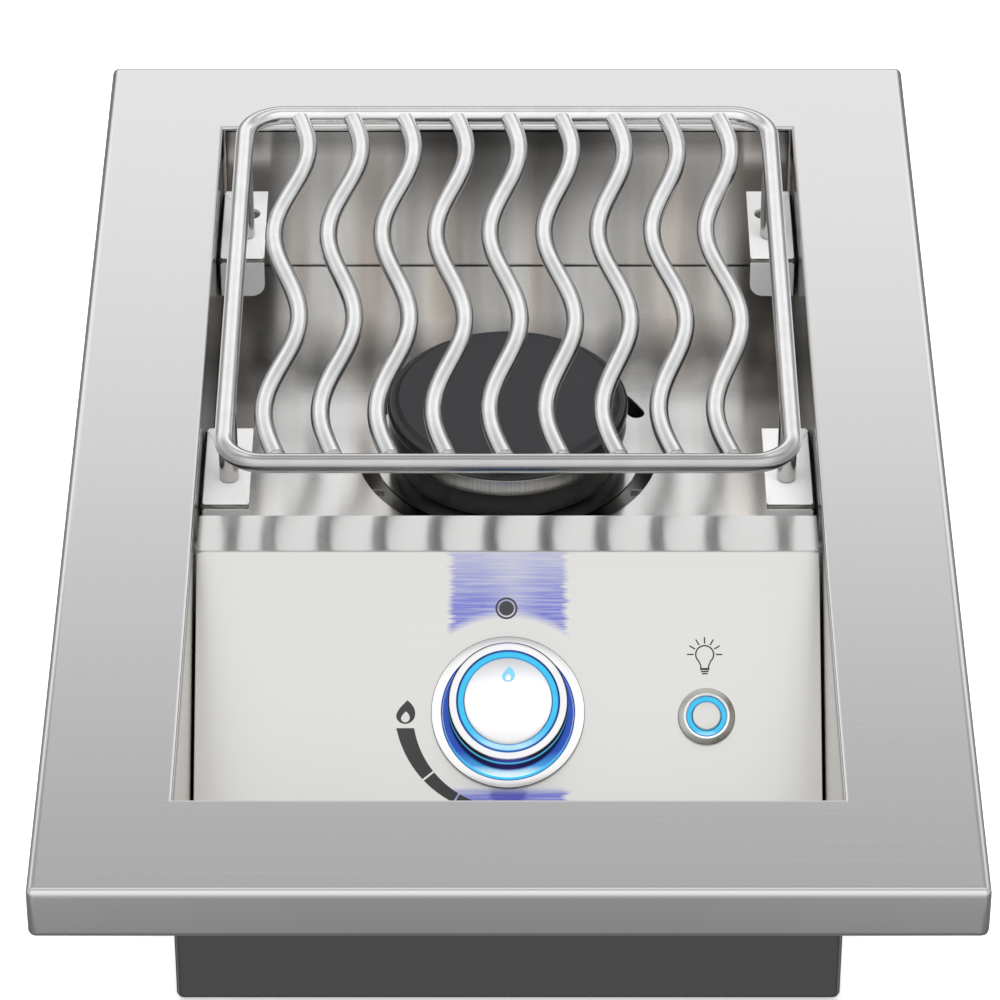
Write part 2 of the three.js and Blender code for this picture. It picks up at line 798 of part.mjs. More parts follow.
function burnerBody() {
  const foot = floorZ + seatGap;
  const rim = headZ - seatGap;
  const shoulder = deckZ - cupShoulderDepth;
  const inner = cupRadius - cupWall;
  const bowl = solid(turned([
    [0, foot],
    [bossRadius, foot],
    [bossRadius, foot + bossHeight],
    [bowlFootRadius, foot + bowlFootRise],
    [cupRadius, shoulder],
    [cupRadius, rim],
    [inner, rim],
    [inner, shoulder + cupWall / 2],
    [bowlFootRadius - cupWall, foot + bowlFootRise + cupWall],
    [0, foot + bossHeight + cupWall],
  ]));
  const spigotRadius = tubeRadius - tubeWall - seatGap;
  const reach = spigotReach - bowlFootRadius;
  const spigot = solid(bar(spigotRadius, reach, 0, -spigotReach, lineZ));
  const bore = solid(bar(spigotRadius - spigotWall, reach + 2 * overrun, 0, -spigotReach - overrun, lineZ));
  return bowl.add(spigot).subtract(bore).translate([0, burnerY, 0]);
}

// Gas line

function venturiTube() {
  const start = ledgeBack - mouthFromLedge;
  const end = burnerY - spigotReach + tubeLap;
  const outside = solid(bar(tubeRadius, end - start, 0, start, lineZ));
  const inside = solid(bar(tubeRadius - tubeWall, end - start + 2 * overrun, 0, start - overrun, lineZ));
  return cut(outside, [inside, airWindow(start)]);
}

// The two side windows in the tube's mouth, which the shutter covers or bares
function airWindow(start) {
  const width = 2 * (tubeRadius + shutterWall + overrun);
  return solid(block(width, airWindowLength, airWindowWidth, 0,
    start + shutterOverhang + airWindowLength / 2 - seatGap, lineZ - airWindowWidth / 2));
}

function airShutter() {
  const start = ledgeBack - mouthFromLedge;
  const inner = tubeRadius + seatGap;
  const outside = solid(bar(inner + shutterWall, shutterLength, 0, start, lineZ));
  const inside = solid(bar(inner, shutterLength + 2 * overrun, 0, start - overrun, lineZ));
  return cut(outside, [inside, airWindow(start)]);
}

function orificeStart() {
  return valveOutletY() + seatGap;
}

function orifice() {
  const start = orificeStart();
  const hex = solid(bar(orificeRadius, orificeLength - orificeTipLength, 0, start, lineZ, 6));
  const tip = solid(bar(orificeTipRadius, orificeLength, 0, start, lineZ));
  const bore = solid(bar(orificeTipRadius / 2, orificeLength + 2 * overrun, 0, start - overrun, lineZ, 8));
  return hex.add(tip).subtract(bore);
}

function valveOutletY() {
  return valveTipY() + valveOutletReach;
}

// Y where the valve's axis crosses the height of the gas line
function valveTipY() {
  const drop = dialFrame.position.z - lineZ;
  return dialFrame.position.y + drop * Math.tan(panelSlope);
}

function valveBody() {
  const flangeTop = -panelSheet - seatGap;
  const width = valveFlangeWidth;
  const flange = block(width, valveFlangeHeight, valveFlangeThickness,
    0, 0, flangeTop - valveFlangeThickness);
  const core = block(valveWidth, valveHeight, valveDepth + flangeTop, 0, 0, -valveDepth);
  const cavity = post(rotorRadius + runningGap, rotorLength + 2 * runningGap, 0, 0,
    -rotorTop - rotorLength - runningGap, boltSides);
  const stemBore = post(stemRadius + runningGap, rotorTop + overrun, 0, 0,
    -rotorTop - runningGap, boltSides);
  const screwBores = [1, -1].map((side) => post(screwRadius + seatGap, valveFlangeThickness + 2 * overrun,
    side * valveScrewOffset, 0, flangeTop - valveFlangeThickness - overrun));
  const tilt = (geometry) => solid(geometry.applyMatrix4(dialFrame.matrix));
  const outlet = solid(bar(valveBossRadius, valveOutletReach, 0, valveTipY(), lineZ));
  const inlet = solid(crossBar(valveBossRadius, valveWidth / 2 + valveInletReach, 0, valveTipY(), lineZ));
  const outletBore = solid(bar(pipeBore / 2, valveOutletReach + overrun, 0, valveTipY(), lineZ, 8));
  const inletBore = solid(crossBar(pipeBore / 2, valveWidth / 2 + valveInletReach + overrun, 0,
    valveTipY(), lineZ, 8));
  const whole = union([tilt(flange), tilt(core), outlet, inlet]);
  return cut(whole, [tilt(cavity), tilt(stemBore), ...screwBores.map(tilt), outletBore, inletBore]);
}

function gasPipe() {
  const inletX = -valveWidth / 2 - valveInletReach - seatGap;
  const end = openingBack - casingSheet - fittingHexLength - 2 * seatGap;
  const stations = bentRoute([
    [inletX, valveTipY(), lineZ],
    [pipeX, valveTipY(), lineZ],
    [pipeX, end, lineZ],
  ], pipeBend);
  return solid(rod(stations, pipeRadius)).subtract(solid(rod(lengthened(stations), pipeBore / 2, 8)));
}

// The same stations run on a little at both ends, for a cutter
function lengthened(stations) {
  const grow = ({ point, way }, reach) => ({ point: point.clone().addScaledVector(way, reach), way });
  return [grow(stations[0], -overrun), ...stations, grow(stations.at(-1), overrun)];
}

function inletFitting() {
  const hexStart = openingBack - fittingHexLength - seatGap;
  const end = openingBack + casingSheet + fittingOutside;
  const hex = solid(bar(fittingHexRadius, fittingHexLength, pipeX, hexStart, lineZ, 6));
  const thread = solid(bar(fittingThreadRadius, end - hexStart, pipeX, hexStart, lineZ));
  const bore = solid(bar(fittingBore, end - hexStart + 2 * overrun, pipeX, hexStart - overrun, lineZ, 8));
  const socket = solid(bar(fittingSocketRadius, fittingSocketDepth + overrun, pipeX,
    end - fittingSocketDepth, lineZ));
  return cut(hex.add(thread), [bore, socket]);
}

function inletNut() {
  const start = openingBack + casingSheet + seatGap;
  const hex = solid(bar(fittingHexRadius, nutThickness, pipeX, start, lineZ, 6));
  return hex.subtract(solid(bar(fittingThreadRadius + seatGap, nutThickness + 2 * overrun, pipeX,
    start - overrun, lineZ)));
}

// Dial: everything here is in the dial's own frame, z = 0 on the panel's outer face

function valveRotor() {
  const plug = solid(post(rotorRadius, rotorLength, 0, 0, -rotorTop - rotorLength));
  const socket = solid(post(stemRadius + seatGap, rotorSocket + overrun, 0, 0, -rotorTop - rotorSocket));
  const port = solid(bar(rotorPort, 2 * rotorRadius + 2 * overrun, 0, -rotorRadius - overrun,
    -rotorTop - rotorLength + 2 * rotorPort, 8));
  return cut(plug, [socket, port]);
}

function valveStem() {
  const top = knobLift + knobHeight - knobCrown - seatGap;
  return solid(post(stemRadius, stemDepth + top, 0, 0, -stemDepth));
}

function knobBody() {
  const top = knobLift + knobHeight;
  const recess = top - knobRecess;
  const seatRadius = knobFaceRadius + knobRingWidth + 2 * seatGap;
  return solid(turned([
    [0, top - knobCrown],
    [stemRadius + seatGap, top - knobCrown],
    [stemRadius + seatGap, knobLift + knobBossLift],
    [knobBossRadius, knobLift + knobBossLift],
    [knobBossRadius, top - knobCrown],
    [knobRadius - knobWall, top - knobCrown],
    [knobRadius - knobWall, knobLift],
    [knobRadius, knobLift],
    [knobRadius, top - knobEdge],
    [knobRadius - knobEdge, top],
    [seatRadius, top],
    [seatRadius, recess],
    [0, recess],
  ]));
}

function knobLightRing() {
  const recess = knobLift + knobHeight - knobRecess + seatGap;
  const inner = knobFaceRadius + seatGap;
  const top = knobLift + knobHeight + knobRingProud;
  return solid(turned([
    [inner, recess],
    [inner + knobRingWidth, recess],
    [inner + knobRingWidth, top],
    [inner, top],
  ]));
}

function knobFace() {
  const recess = knobLift + knobHeight - knobRecess + seatGap;
  const edge = knobLift + knobHeight + knobRingProud;
  return solid(turned([
    [0, recess],
    [knobFaceRadius, recess],
    [knobFaceRadius, edge],
    [knobFaceRadius * 0.85, edge + knobFaceDome * 0.5],
    [knobFaceRadius * 0.5, edge + knobFaceDome * 0.88],
    [0, edge + knobFaceDome],
  ]));
}

function knobBezel() {
  const width = bezelRadius - bezelInnerRadius;
  return solid(turned([
    [bezelInnerRadius, seatGap],
    [bezelRadius, seatGap],
    [bezelRadius, bezelHeight * 0.45],
    [bezelRadius - width * 0.2, bezelHeight * 0.85],
    [bezelRadius - width * 0.5, bezelHeight],
    [bezelInnerRadius, bezelHeight * 0.7],
  ]));
}

function glowRing() {
  const outer = bezelInnerRadius - seatGap;
  return solid(turned([
    [glowInnerRadius, seatGap],
    [outer, seatGap],
    [outer, seatGap + glowHeight],
    [glowInnerRadius, seatGap + glowHeight],
  ]));
}

function valveScrew(side) {
  const head = solid(post(screwHeadRadius, screwHeadHeight, side * valveScrewOffset, 0, seatGap));
  return head.add(solid(post(screwRadius, screwLength, side * valveScrewOffset, 0, seatGap - screwLength)));
}

// Light switch, in its own frame on the panel

function switchHousing() {
  const top = seatGap + switchFlangeHeight;
  const seat = switchRingRadius + seatGap;
  const well = switchRingRadius - switchRingWidth;
  return solid(turned([
    [0, -switchDepth],
    [switchBarrelRadius, -switchDepth],
    [switchBarrelRadius, seatGap],
    [switchFlangeRadius, seatGap],
    [switchFlangeRadius, seatGap + switchFlangeHeight / 2],
    [switchFlangeRadius - switchFlangeHeight / 2, top],
    [seat, top],
    [seat, switchSeatHeight],
    [well, switchSeatHeight],
    [well, -switchWell],
    [0, -switchWell],
  ], switchSides));
}

function switchRing() {
  const inner = switchRingRadius - switchRingWidth;
  const bottom = switchSeatHeight + seatGap;
  return solid(turned([
    [inner, bottom],
    [switchRingRadius, bottom],
    [switchRingRadius, bottom + switchRingHeight],
    [inner, bottom + switchRingHeight],
  ], switchSides));
}

function switchCap() {
  const radius = switchRingRadius - switchRingWidth - seatGap;
  const top = switchSeatHeight + seatGap + switchRingHeight + switchCapProud;
  const dome = switchCapProud / 2;
  return solid(turned([
    [0, top - switchCapLength],
    [radius, top - switchCapLength],
    [radius, top - dome],
    [radius - dome, top],
    [0, top + dome],
  ], switchSides));
}

function switchNut() {
  const top = -panelSheet - seatGap;
  const hex = solid(post(switchNutRadius, switchNutThickness, 0, 0, top - switchNutThickness, 6));
  return hex.subtract(solid(post(switchBarrelRadius + seatGap, switchNutThickness + 2 * overrun, 0, 0,
    top - switchNutThickness - overrun)));
}

// Igniter and electrics

// The dial light's lead leaves the panel behind the middle of the lit ring
function dialLeadX() {
  return (glowInnerRadius + bezelInnerRadius) / 2;
}

function insulator() {
  const bottom = deckZ - insulatorBottom;
  const height = insulatorBottom + insulatorTop;
  const sleeve = solid(post(insulatorRadius, height, 0, burnerY + electrodeOffset, bottom, 12));
  const bore = solid(post(sparkRadius + seatGap, height + 2 * overrun, 0, burnerY + electrodeOffset,
    bottom - overrun, 8));
  return sleeve.subtract(bore);
}

function sparkRod() {
  const y = burnerY + electrodeOffset;
  const top = deckZ + insulatorTop + sparkRise;
  const stations = bentRoute([
    [0, y, deckZ - insulatorBottom - sparkRise],
    [0, y, top],
    [0, y - sparkReach, top + sparkReach / 2],
  ], sparkRadius, 2);
  return solid(rod(stations, sparkRadius, 8));
}

function electrodeClip() {
  const top = deckZ - deckSheet - seatGap;
  const y = burnerY + electrodeOffset;
  const plate = solid(block(clipWidth, clipLength, clipSheet, 0, y, top - clipSheet));
  return plate.subtract(solid(post(insulatorRadius + seatGap, clipSheet + 2 * overrun, 0, y,
    top - clipSheet - overrun, 12)));
}

function igniterLead() {
  const end = [0, burnerY + electrodeOffset, deckZ - insulatorBottom - sparkRise - seatGap];
  const low = floorZ + seatGap + 2 * leadRadius;
  const stations = bentRoute([
    [igniterLeadX, electricsBack + seatGap, lineZ],
    [igniterLeadX, burnerY + slotOuterRadius, lineZ],
    [igniterLeadX / 2, burnerY + slotOuterRadius + clipLength, low],
    [0, burnerY + slotOuterRadius, low],
    [end[0], end[1], low],
    end,
  ], 1.5 * leadRadius, 3);
  return solid(rod(stations, leadRadius, 8));
}

function caseBox(width, length, height, x, backY, z) {
  return solid(slab(rectangle(width, length, boxCornerRadius), height, z)
    .translate(x, backY - length / 2, 0));
}

function panelLead(frame, startX, startDepth, endX) {
  const start = new THREE.Vector3(startX, 0, -startDepth).applyMatrix4(frame.matrix);
  const into = new THREE.Vector3(0, Math.sin(panelSlope), -Math.cos(panelSlope));
  const knee = start.clone().addScaledVector(into, 2 * leadRadius);
  const front = electricsBack - moduleLength - seatGap;
  const height = floorZ + seatGap + moduleHeight / 2;
  const stations = bentRoute([
    start.toArray(),
    knee.toArray(),
    [endX, front - 3 * leadRadius, height],
    [endX, front, height],
  ], leadRadius, 2);
  return solid(rod(stations, leadRadius / 2 + seatGap, 6));
}

// Assembly

const sideBurner = new THREE.Group();

sideBurner.add(
  named('trim_frame', trimFrame(), brushedSteel),
  named('casing', casing(), darkSteel),
  named('control_panel', controlPanel(), paleSteel),
  named('burner_deck', burnerDeck(), brushedSteel),
  named('panel_screw_left', panelScrew(-1), brushedSteel),
  named('panel_screw_right', panelScrew(1), brushedSteel),
);

for (const [corner, side, y] of legPlaces()) {
  sideBurner.add(
    named(`grate_bracket_${corner}`, grateBracket(side, y), paleSteel),
    named(`grate_leg_${corner}`, grateLeg(side, y), satinRod),
  );
}

sideBurner.add(named('grate_ring', union([ringHalf(1), ringHalf(-1)]), satinRod));
for (let i = 0; i < waveCount; i += 1) {
  sideBurner.add(named(`wave_bar_${i + 1}`, waveBar(i), satinRod));
}

sideBurner.add(
  named('burner_cap', solid(burnerCap().translate(0, burnerY, 0)), blackEnamel),
  named('burner_head', burnerHead().translate([0, burnerY, 0]), castAlloy),
  named('burner_body', burnerBody(), castAlloy),
  named('venturi_tube', venturiTube(), brushedSteel),
  named('air_shutter', airShutter(), brushedSteel),
  named('orifice', orifice(), brass),
  named('valve_body', valveBody(), brass),
  named('gas_pipe', gasPipe(), brushedSteel),
  named('inlet_fitting', inletFitting(), brass),
  named('inlet_nut', inletNut(), brass),
);

dialFrame.add(
  named('valve_rotor', valveRotor(), brass),
  named('valve_stem', valveStem(), brushedSteel),
  named('valve_screw_left', valveScrew(-1), brushedSteel),
  named('valve_screw_right', valveScrew(1), brushedSteel),
  named('knob_bezel', knobBezel(), chrome),
  named('bezel_light_ring', glowRing(), litBlue),
  named('knob_body', knobBody(), satinSilver),
  named('knob_light_ring', knobLightRing(), litBlue),
  named('knob_face', knobFace(), satinSilver),
);

switchFrame.add(
  named('switch_housing', switchHousing(), brushedSteel),
  named('switch_light_ring', switchRing(), litBlue),
  named('switch_button', switchCap(), satinSilver),
  named('switch_nut', switchNut(), brushedSteel),
);

const boxZ = floorZ + seatGap;
sideBurner.add(
  dialFrame,
  switchFrame,
  named('electrode_insulator', insulator(), ceramic),
  named('electrode_rod', sparkRod(), brushedSteel),
  named('electrode_clip', electrodeClip(), brushedSteel),
  named('igniter_lead', igniterLead(), leadSleeve),
  named('spark_module', caseBox(moduleWidth, moduleLength, moduleHeight, moduleX, electricsBack, boxZ),
    blackPlastic),
  named('dial_light_lead', panelLead(dialFrame, dialLeadX(), panelSheet + seatGap,
    moduleX - moduleWidth / 4), leadSleeve),
  named('switch_lead', panelLead(switchFrame, 0, switchDepth + seatGap,
    igniterLeadX), leadSleeve),
);

export default sideBurner;
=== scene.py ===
"""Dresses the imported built-in side burner: fine sheet, rod and turned pieces, finishes and studio.

Sizes are in millimetres in the burner's own frame, and become metres when a piece is placed.
"""

import json
import logging
import math
from dataclasses import dataclass, field
from enum import Enum
from functools import reduce
from typing import Callable, Iterable, Optional, Sequence, Union

import bmesh
import bpy
from bmesh.types import BMEdge as Edge, BMesh as Form, BMVert as Vert
from bpy.types import Material, MeshPolygon, Node, NodeSocket as Socket, NodeTree, Object as Thing
from mathutils import Euler, Matrix, Vector


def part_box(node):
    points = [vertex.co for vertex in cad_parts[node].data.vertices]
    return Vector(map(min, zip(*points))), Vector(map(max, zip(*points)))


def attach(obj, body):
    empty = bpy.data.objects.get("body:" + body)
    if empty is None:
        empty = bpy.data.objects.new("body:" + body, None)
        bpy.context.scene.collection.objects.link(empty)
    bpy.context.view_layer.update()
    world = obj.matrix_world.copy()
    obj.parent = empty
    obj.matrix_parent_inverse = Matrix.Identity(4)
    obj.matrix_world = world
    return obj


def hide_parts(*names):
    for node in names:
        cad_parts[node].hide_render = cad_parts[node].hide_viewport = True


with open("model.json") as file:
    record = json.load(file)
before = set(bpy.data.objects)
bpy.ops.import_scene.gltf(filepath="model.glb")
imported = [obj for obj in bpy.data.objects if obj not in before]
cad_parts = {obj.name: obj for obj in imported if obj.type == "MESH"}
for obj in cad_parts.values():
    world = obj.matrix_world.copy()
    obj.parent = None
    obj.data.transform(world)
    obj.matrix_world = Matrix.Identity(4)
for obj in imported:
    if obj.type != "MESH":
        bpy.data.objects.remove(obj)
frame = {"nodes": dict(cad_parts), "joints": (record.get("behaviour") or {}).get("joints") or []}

LOG = logging.getLogger("side_burner")
MM = 0.001
MERGE = 0.002
TOUCH = 0.01
SHARP = math.radians(35.0)
WHOLE_TURN = 2.0 * math.pi
PRINT_HEIGHT = 0.05
ORIGIN = (0.0, 0.0, 0.0)
AXES = (Vector((1.0, 0.0, 0.0)), Vector((0.0, 1.0, 0.0)), Vector((0.0, 0.0, 1.0)))
BACK, UP = AXES[1:]
UPRIGHT = Matrix.Rotation(math.pi / 2.0, 4, "X")

Point = tuple[float, float]
Colour = tuple[float, float, float]
Value = Union[Socket, float, Sequence[float]]

BLACK: Colour = (0.0, 0.0, 0.0)
BLUE_EDGE: Colour = (0.012, 0.12, 0.5)
BLUE_MIDDLE: Colour = (0.06, 0.6, 0.93)


class Grain(Enum):
    """The way a brushed finish runs."""

    ALONG_X = (1.0, 0.0, 0.0)
    UPRIGHT = (0.0, 0.0, 1.0)


class Corner(Enum):
    """The grate's corners, each with a bracket and a leg."""

    FRONT_LEFT = "front_left"
    FRONT_RIGHT = "front_right"
    REAR_LEFT = "rear_left"
    REAR_RIGHT = "rear_right"


def node_box(node: str) -> tuple[Vector, Vector]:
    """Gives a node's lowest and highest corners in millimetres."""
    low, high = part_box(node)
    return low / MM, high / MM


def middle_of(node: str) -> Vector:
    """Gives the middle of a node's box in millimetres."""
    low, high = node_box(node)
    return (low + high) / 2.0


# The burner's layout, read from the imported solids


@dataclass
class Layout:
    """The planes and centres that the pieces share, in millimetres.

    Attributes:
        slope: The panel's slope in degrees.
        out: The panel's outward direction.
        up: The direction up the panel's slope.
        wall: From the middle to the well's side walls.
        ledge: Height of the panel's ledge, with its back and front edges.
        deck: Height of the burner deck.
        burner: The burner's middle, on the deck.
        dial: The dial's middle, on the panel.
        switch: The switch's middle, on the panel.
    """

    slope: float = 41.0

    def __post_init__(self) -> None:
        """Reads the places."""
        angle = math.radians(self.slope)
        self.out = Vector((0.0, -math.sin(angle), math.cos(angle)))
        self.up = Vector((0.0, math.cos(angle), math.sin(angle)))
        panel_high = node_box("control_panel")[1]
        self.wall = node_box("grate_bracket_front_right")[1].x
        self.ledge, self.ledge_back = panel_high.z, panel_high.y
        self.deck = node_box("burner_deck")[1].z
        self.burner = Vector((0.0, middle_of("burner_cap").y, self.deck))
        hinge = next(joint for joint in frame["joints"] if joint["name"] == "dial_turn")
        self.dial = Vector(hinge["pos_m"]) / MM
        drop = (self.ledge - self.dial.z) / math.sin(angle)
        self.ledge_front = self.dial.y + drop * math.cos(angle)
        self.switch = self.on_panel(middle_of("switch_housing").x, -1.6)

    def on_panel(self, across: float, upward: float) -> Vector:
        """Gives the panel's point at a distance to the right of the dial and up the slope."""
        return Vector((across, self.dial.y, self.dial.z)) + self.up * upward

    def panel_place(self, spot: Vector) -> Matrix:
        """Turns a form that stands on z = 0 onto the panel at a point."""
        return Matrix.Translation(spot) @ Euler((math.radians(self.slope), 0.0, 0.0)).to_matrix().to_4x4()

    def about_dial(self, face: MeshPolygon) -> Point:
        """Gives where a finished piece's face lies on the dial.

        Args:
            face: The face.

        Returns:
            Its distance from the dial's axis and its height above the panel.
        """
        spot = face.center / MM - self.dial
        height = spot.dot(self.out)
        return (spot - self.out * height).length, height


# Finishes


class Nodes:
    """A node tree, built a step at a time."""

    def __init__(self, tree: NodeTree) -> None:
        """Takes the tree that it builds."""
        self.tree = tree

    def put(self, slot: Socket, value: Value) -> None:
        """Joins an input to a socket, or sets it.

        Args:
            slot: The input.
            value: A socket, a number, a vector or a colour.
        """
        if isinstance(value, Socket):
            self.tree.links.new(value, slot)
        else:
            slot.default_value = (*value, 1.0) if slot.type == "RGBA" else value

    def add(self, kind: str, inputs: dict[Union[int, str], Value], **settings: object) -> Node:
        """Adds a node.

        Args:
            kind: Its type.
            inputs: What goes in, by place or name.
            **settings: Its own settings.

        Returns:
            The node.
        """
        node = self.tree.nodes.new("ShaderNode" + kind)
        for key, value in settings.items():
            setattr(node, key, value)
        for key, value in inputs.items():
            self.put(node.inputs[key], value)
        return node

    def maths(self, operation: str, *values: Value) -> Socket:
        """Works out one number with a Math node."""
        return self.add("Math", dict(enumerate(values)), operation=operation).outputs[0]

    def times(self, *values: Value) -> Socket:
        """Multiplies numbers, from the first to the last."""
        return reduce(lambda first, second: self.maths("MULTIPLY", first, second), values)

    def plus(self, first: Value, second: Value) -> Socket:
        """Adds two numbers."""
        return self.maths("ADD", first, second)

    def minus(self, first: Value, second: Value) -> Socket:
        """Takes the second number from the first."""
        return self.maths("SUBTRACT", first, second)

    def larger(self, first: Value, second: Value) -> Socket:
        """Gives the larger of two numbers."""
        return self.maths("MAXIMUM", first, second)

    def size(self, value: Value) -> Socket:
        """Gives a number without its sign."""
        return self.maths("ABSOLUTE", value)

    def spread(self, source: Socket, low: float, high: float, start: float = 0.3, end: float = 0.7,
               curve: str = "LINEAR") -> Socket:
        """Maps a factor onto a range.

        Args:
            source: The factor.
            low: The result at start.
            high: The result at end.
            start: Where the factor starts to count.
            end: Where it stops.
            curve: How the result goes from low to high.

        Returns:
            The mapped value.
        """
        inputs = {"Value": source, "From Min": start, "From Max": end, "To Min": low, "To Max": high}
        return self.add("MapRange", inputs, interpolation_type=curve).outputs["Result"]

    def around(self, source: Socket, middle: float, swing: float, *ends: float) -> Socket:
        """Maps a factor onto a range about a middle, from and to the ends if they are given."""
        return self.spread(source, middle - swing, middle + swing, *ends)

    def rise(self, source: Socket, start: float, end: float, low: float = 0.0, high: float = 1.0) -> Socket:
        """Maps a length onto a range, between a start and an end in millimetres."""
        return self.spread(source, low, high, start * MM, end * MM)

    def fall(self, source: Socket, start: float, end: float, high: float = 1.0) -> Socket:
        """Maps a length onto a range that goes down to 0, between a start and an end in millimetres."""
        return self.rise(source, start, end, high, 0.0)

    def blend(self, factor: Socket, first: Value, second: Value) -> Socket:
        """Mixes two colours, by how much of the second."""
        return self.add("Mix", {0: factor, 6: first, 7: second}, data_type="RGBA").outputs[2]

    def greys(self, factor: Socket, stops: Sequence[Point]) -> Socket:
        """Reads a factor off a ramp of greys.

        Args:
            factor: The factor.
            stops: Positions from 0 to 1 and levels.

        Returns:
            The colour.
        """
        node = self.add("ValToRGB", {"Fac": factor})
        for position, _ in stops[1:-1]:
            node.color_ramp.elements.new(position)
        for element, (_, level) in zip(node.color_ramp.elements, stops):
            element.color = (level, level, level, 1.0)
        return node.outputs["Color"]


class Recipe(Nodes):
    """A material's node tree, round one Principled shader."""

    def __init__(self, name: str) -> None:
        """Starts an empty material.

        Args:
            name: The material's name.
        """
        self.material = bpy.data.materials.new(name)
        self.material.use_nodes = True
        super().__init__(self.material.node_tree)
        self.shader = self.tree.nodes["Principled BSDF"]
        self.tone: Value = BLACK

    def feed(self, inputs: dict[str, Value]) -> Material:
        """Joins or sets inputs of the shader.

        Args:
            inputs: What goes in, by name.

        Returns:
            The material.
        """
        for name, value in inputs.items():
            self.put(self.shader.inputs[name], value)
        return self.material

    def place(self, shift: Sequence[float] = ORIGIN, scale: Sequence[float] = (1.0, 1.0, 1.0)) -> Socket:
        """Gives the object's coordinates, moved in metres and stretched."""
        inputs = {"Vector": self.add("TexCoord", {}).outputs["Object"], "Location": shift, "Scale": scale}
        return self.add("Mapping", inputs, vector_type="POINT").outputs["Vector"]

    def axes(self, shift: Sequence[float] = ORIGIN) -> Sequence[Socket]:
        """Gives the object's coordinates one by one, moved in metres."""
        return self.add("SeparateXYZ", {0: self.place(shift)}).outputs[:]

    def aside(self) -> Socket:
        """Gives the distance from the plane x = 0."""
        return self.size(self.axes()[0])

    def along(self, origin: Vector, way: Vector) -> Socket:
        """Gives the distance from an origin in millimetres, along a direction."""
        inputs = {0: self.place(-origin * MM), 1: way}
        return self.add("VectorMath", inputs, operation="DOT_PRODUCT").outputs["Value"]

    def polar(self, centre: Vector, axis: Vector, up: Vector) -> tuple[Socket, Socket]:
        """Gives the distance from an axis and the height up a direction.

        Args:
            centre: A point of the axis, in millimetres.
            axis: The axis's direction.
            up: The direction that height is measured in.

        Returns:
            Distance and height in metres.
        """
        along = self.along(centre, axis)
        whole = self.add("VectorMath", {0: self.place(-centre * MM)}, operation="LENGTH").outputs["Value"]
        square = self.minus(self.times(whole, whole), self.times(along, along))
        return self.maths("SQRT", self.larger(square, 0.0)), self.along(centre, up)

    def noise(self, scale: Union[float, Sequence[float]], detail: float = 3.0, roughness: float = 0.5,
              shift: Sequence[float] = ORIGIN) -> Socket:
        """Adds a noise texture.

        Args:
            scale: Waves a metre, for all axes or for each.
            detail: Octaves.
            roughness: How strong the fine octaves are.
            shift: Offset in metres.

        Returns:
            The factor.
        """
        even = isinstance(scale, float)
        inputs = {"Vector": self.place(shift) if even else self.place(shift, scale),
                  "Scale": scale if even else 1.0, "Detail": detail, "Roughness": roughness}
        return self.add("TexNoise", inputs, noise_dimensions="3D").outputs["Fac"]

    def tint(self, colour: Value, level: Socket) -> None:
        """Makes the base colour a colour times a level, and keeps it as the tone."""
        self.tone = self.add("VectorMath", {0: colour, "Scale": level}, operation="SCALE").outputs[0]
        self.feed({"Base Color": self.tone})

    def bump(self, height: Socket, strength: float, depth: float) -> None:
        """Puts a fine relief on the surface, with its depth in metres."""
        node = self.add("Bump", {"Strength": strength, "Distance": depth, "Height": height})
        self.feed({"Normal": node.outputs["Normal"]})

    def metal(self, stretch: float = 0.0, metallic: float = 1.0) -> None:
        """Makes the shader a bare metal, with highlights stretched across the grain."""
        self.feed({"Metallic": metallic, "Anisotropic": stretch, "Anisotropic Rotation": 0.25})


class Finish:
    """A surface's look, under its material's name."""

    name: str

    def build(self) -> Material:
        """Gives the finished material."""
        raise NotImplementedError


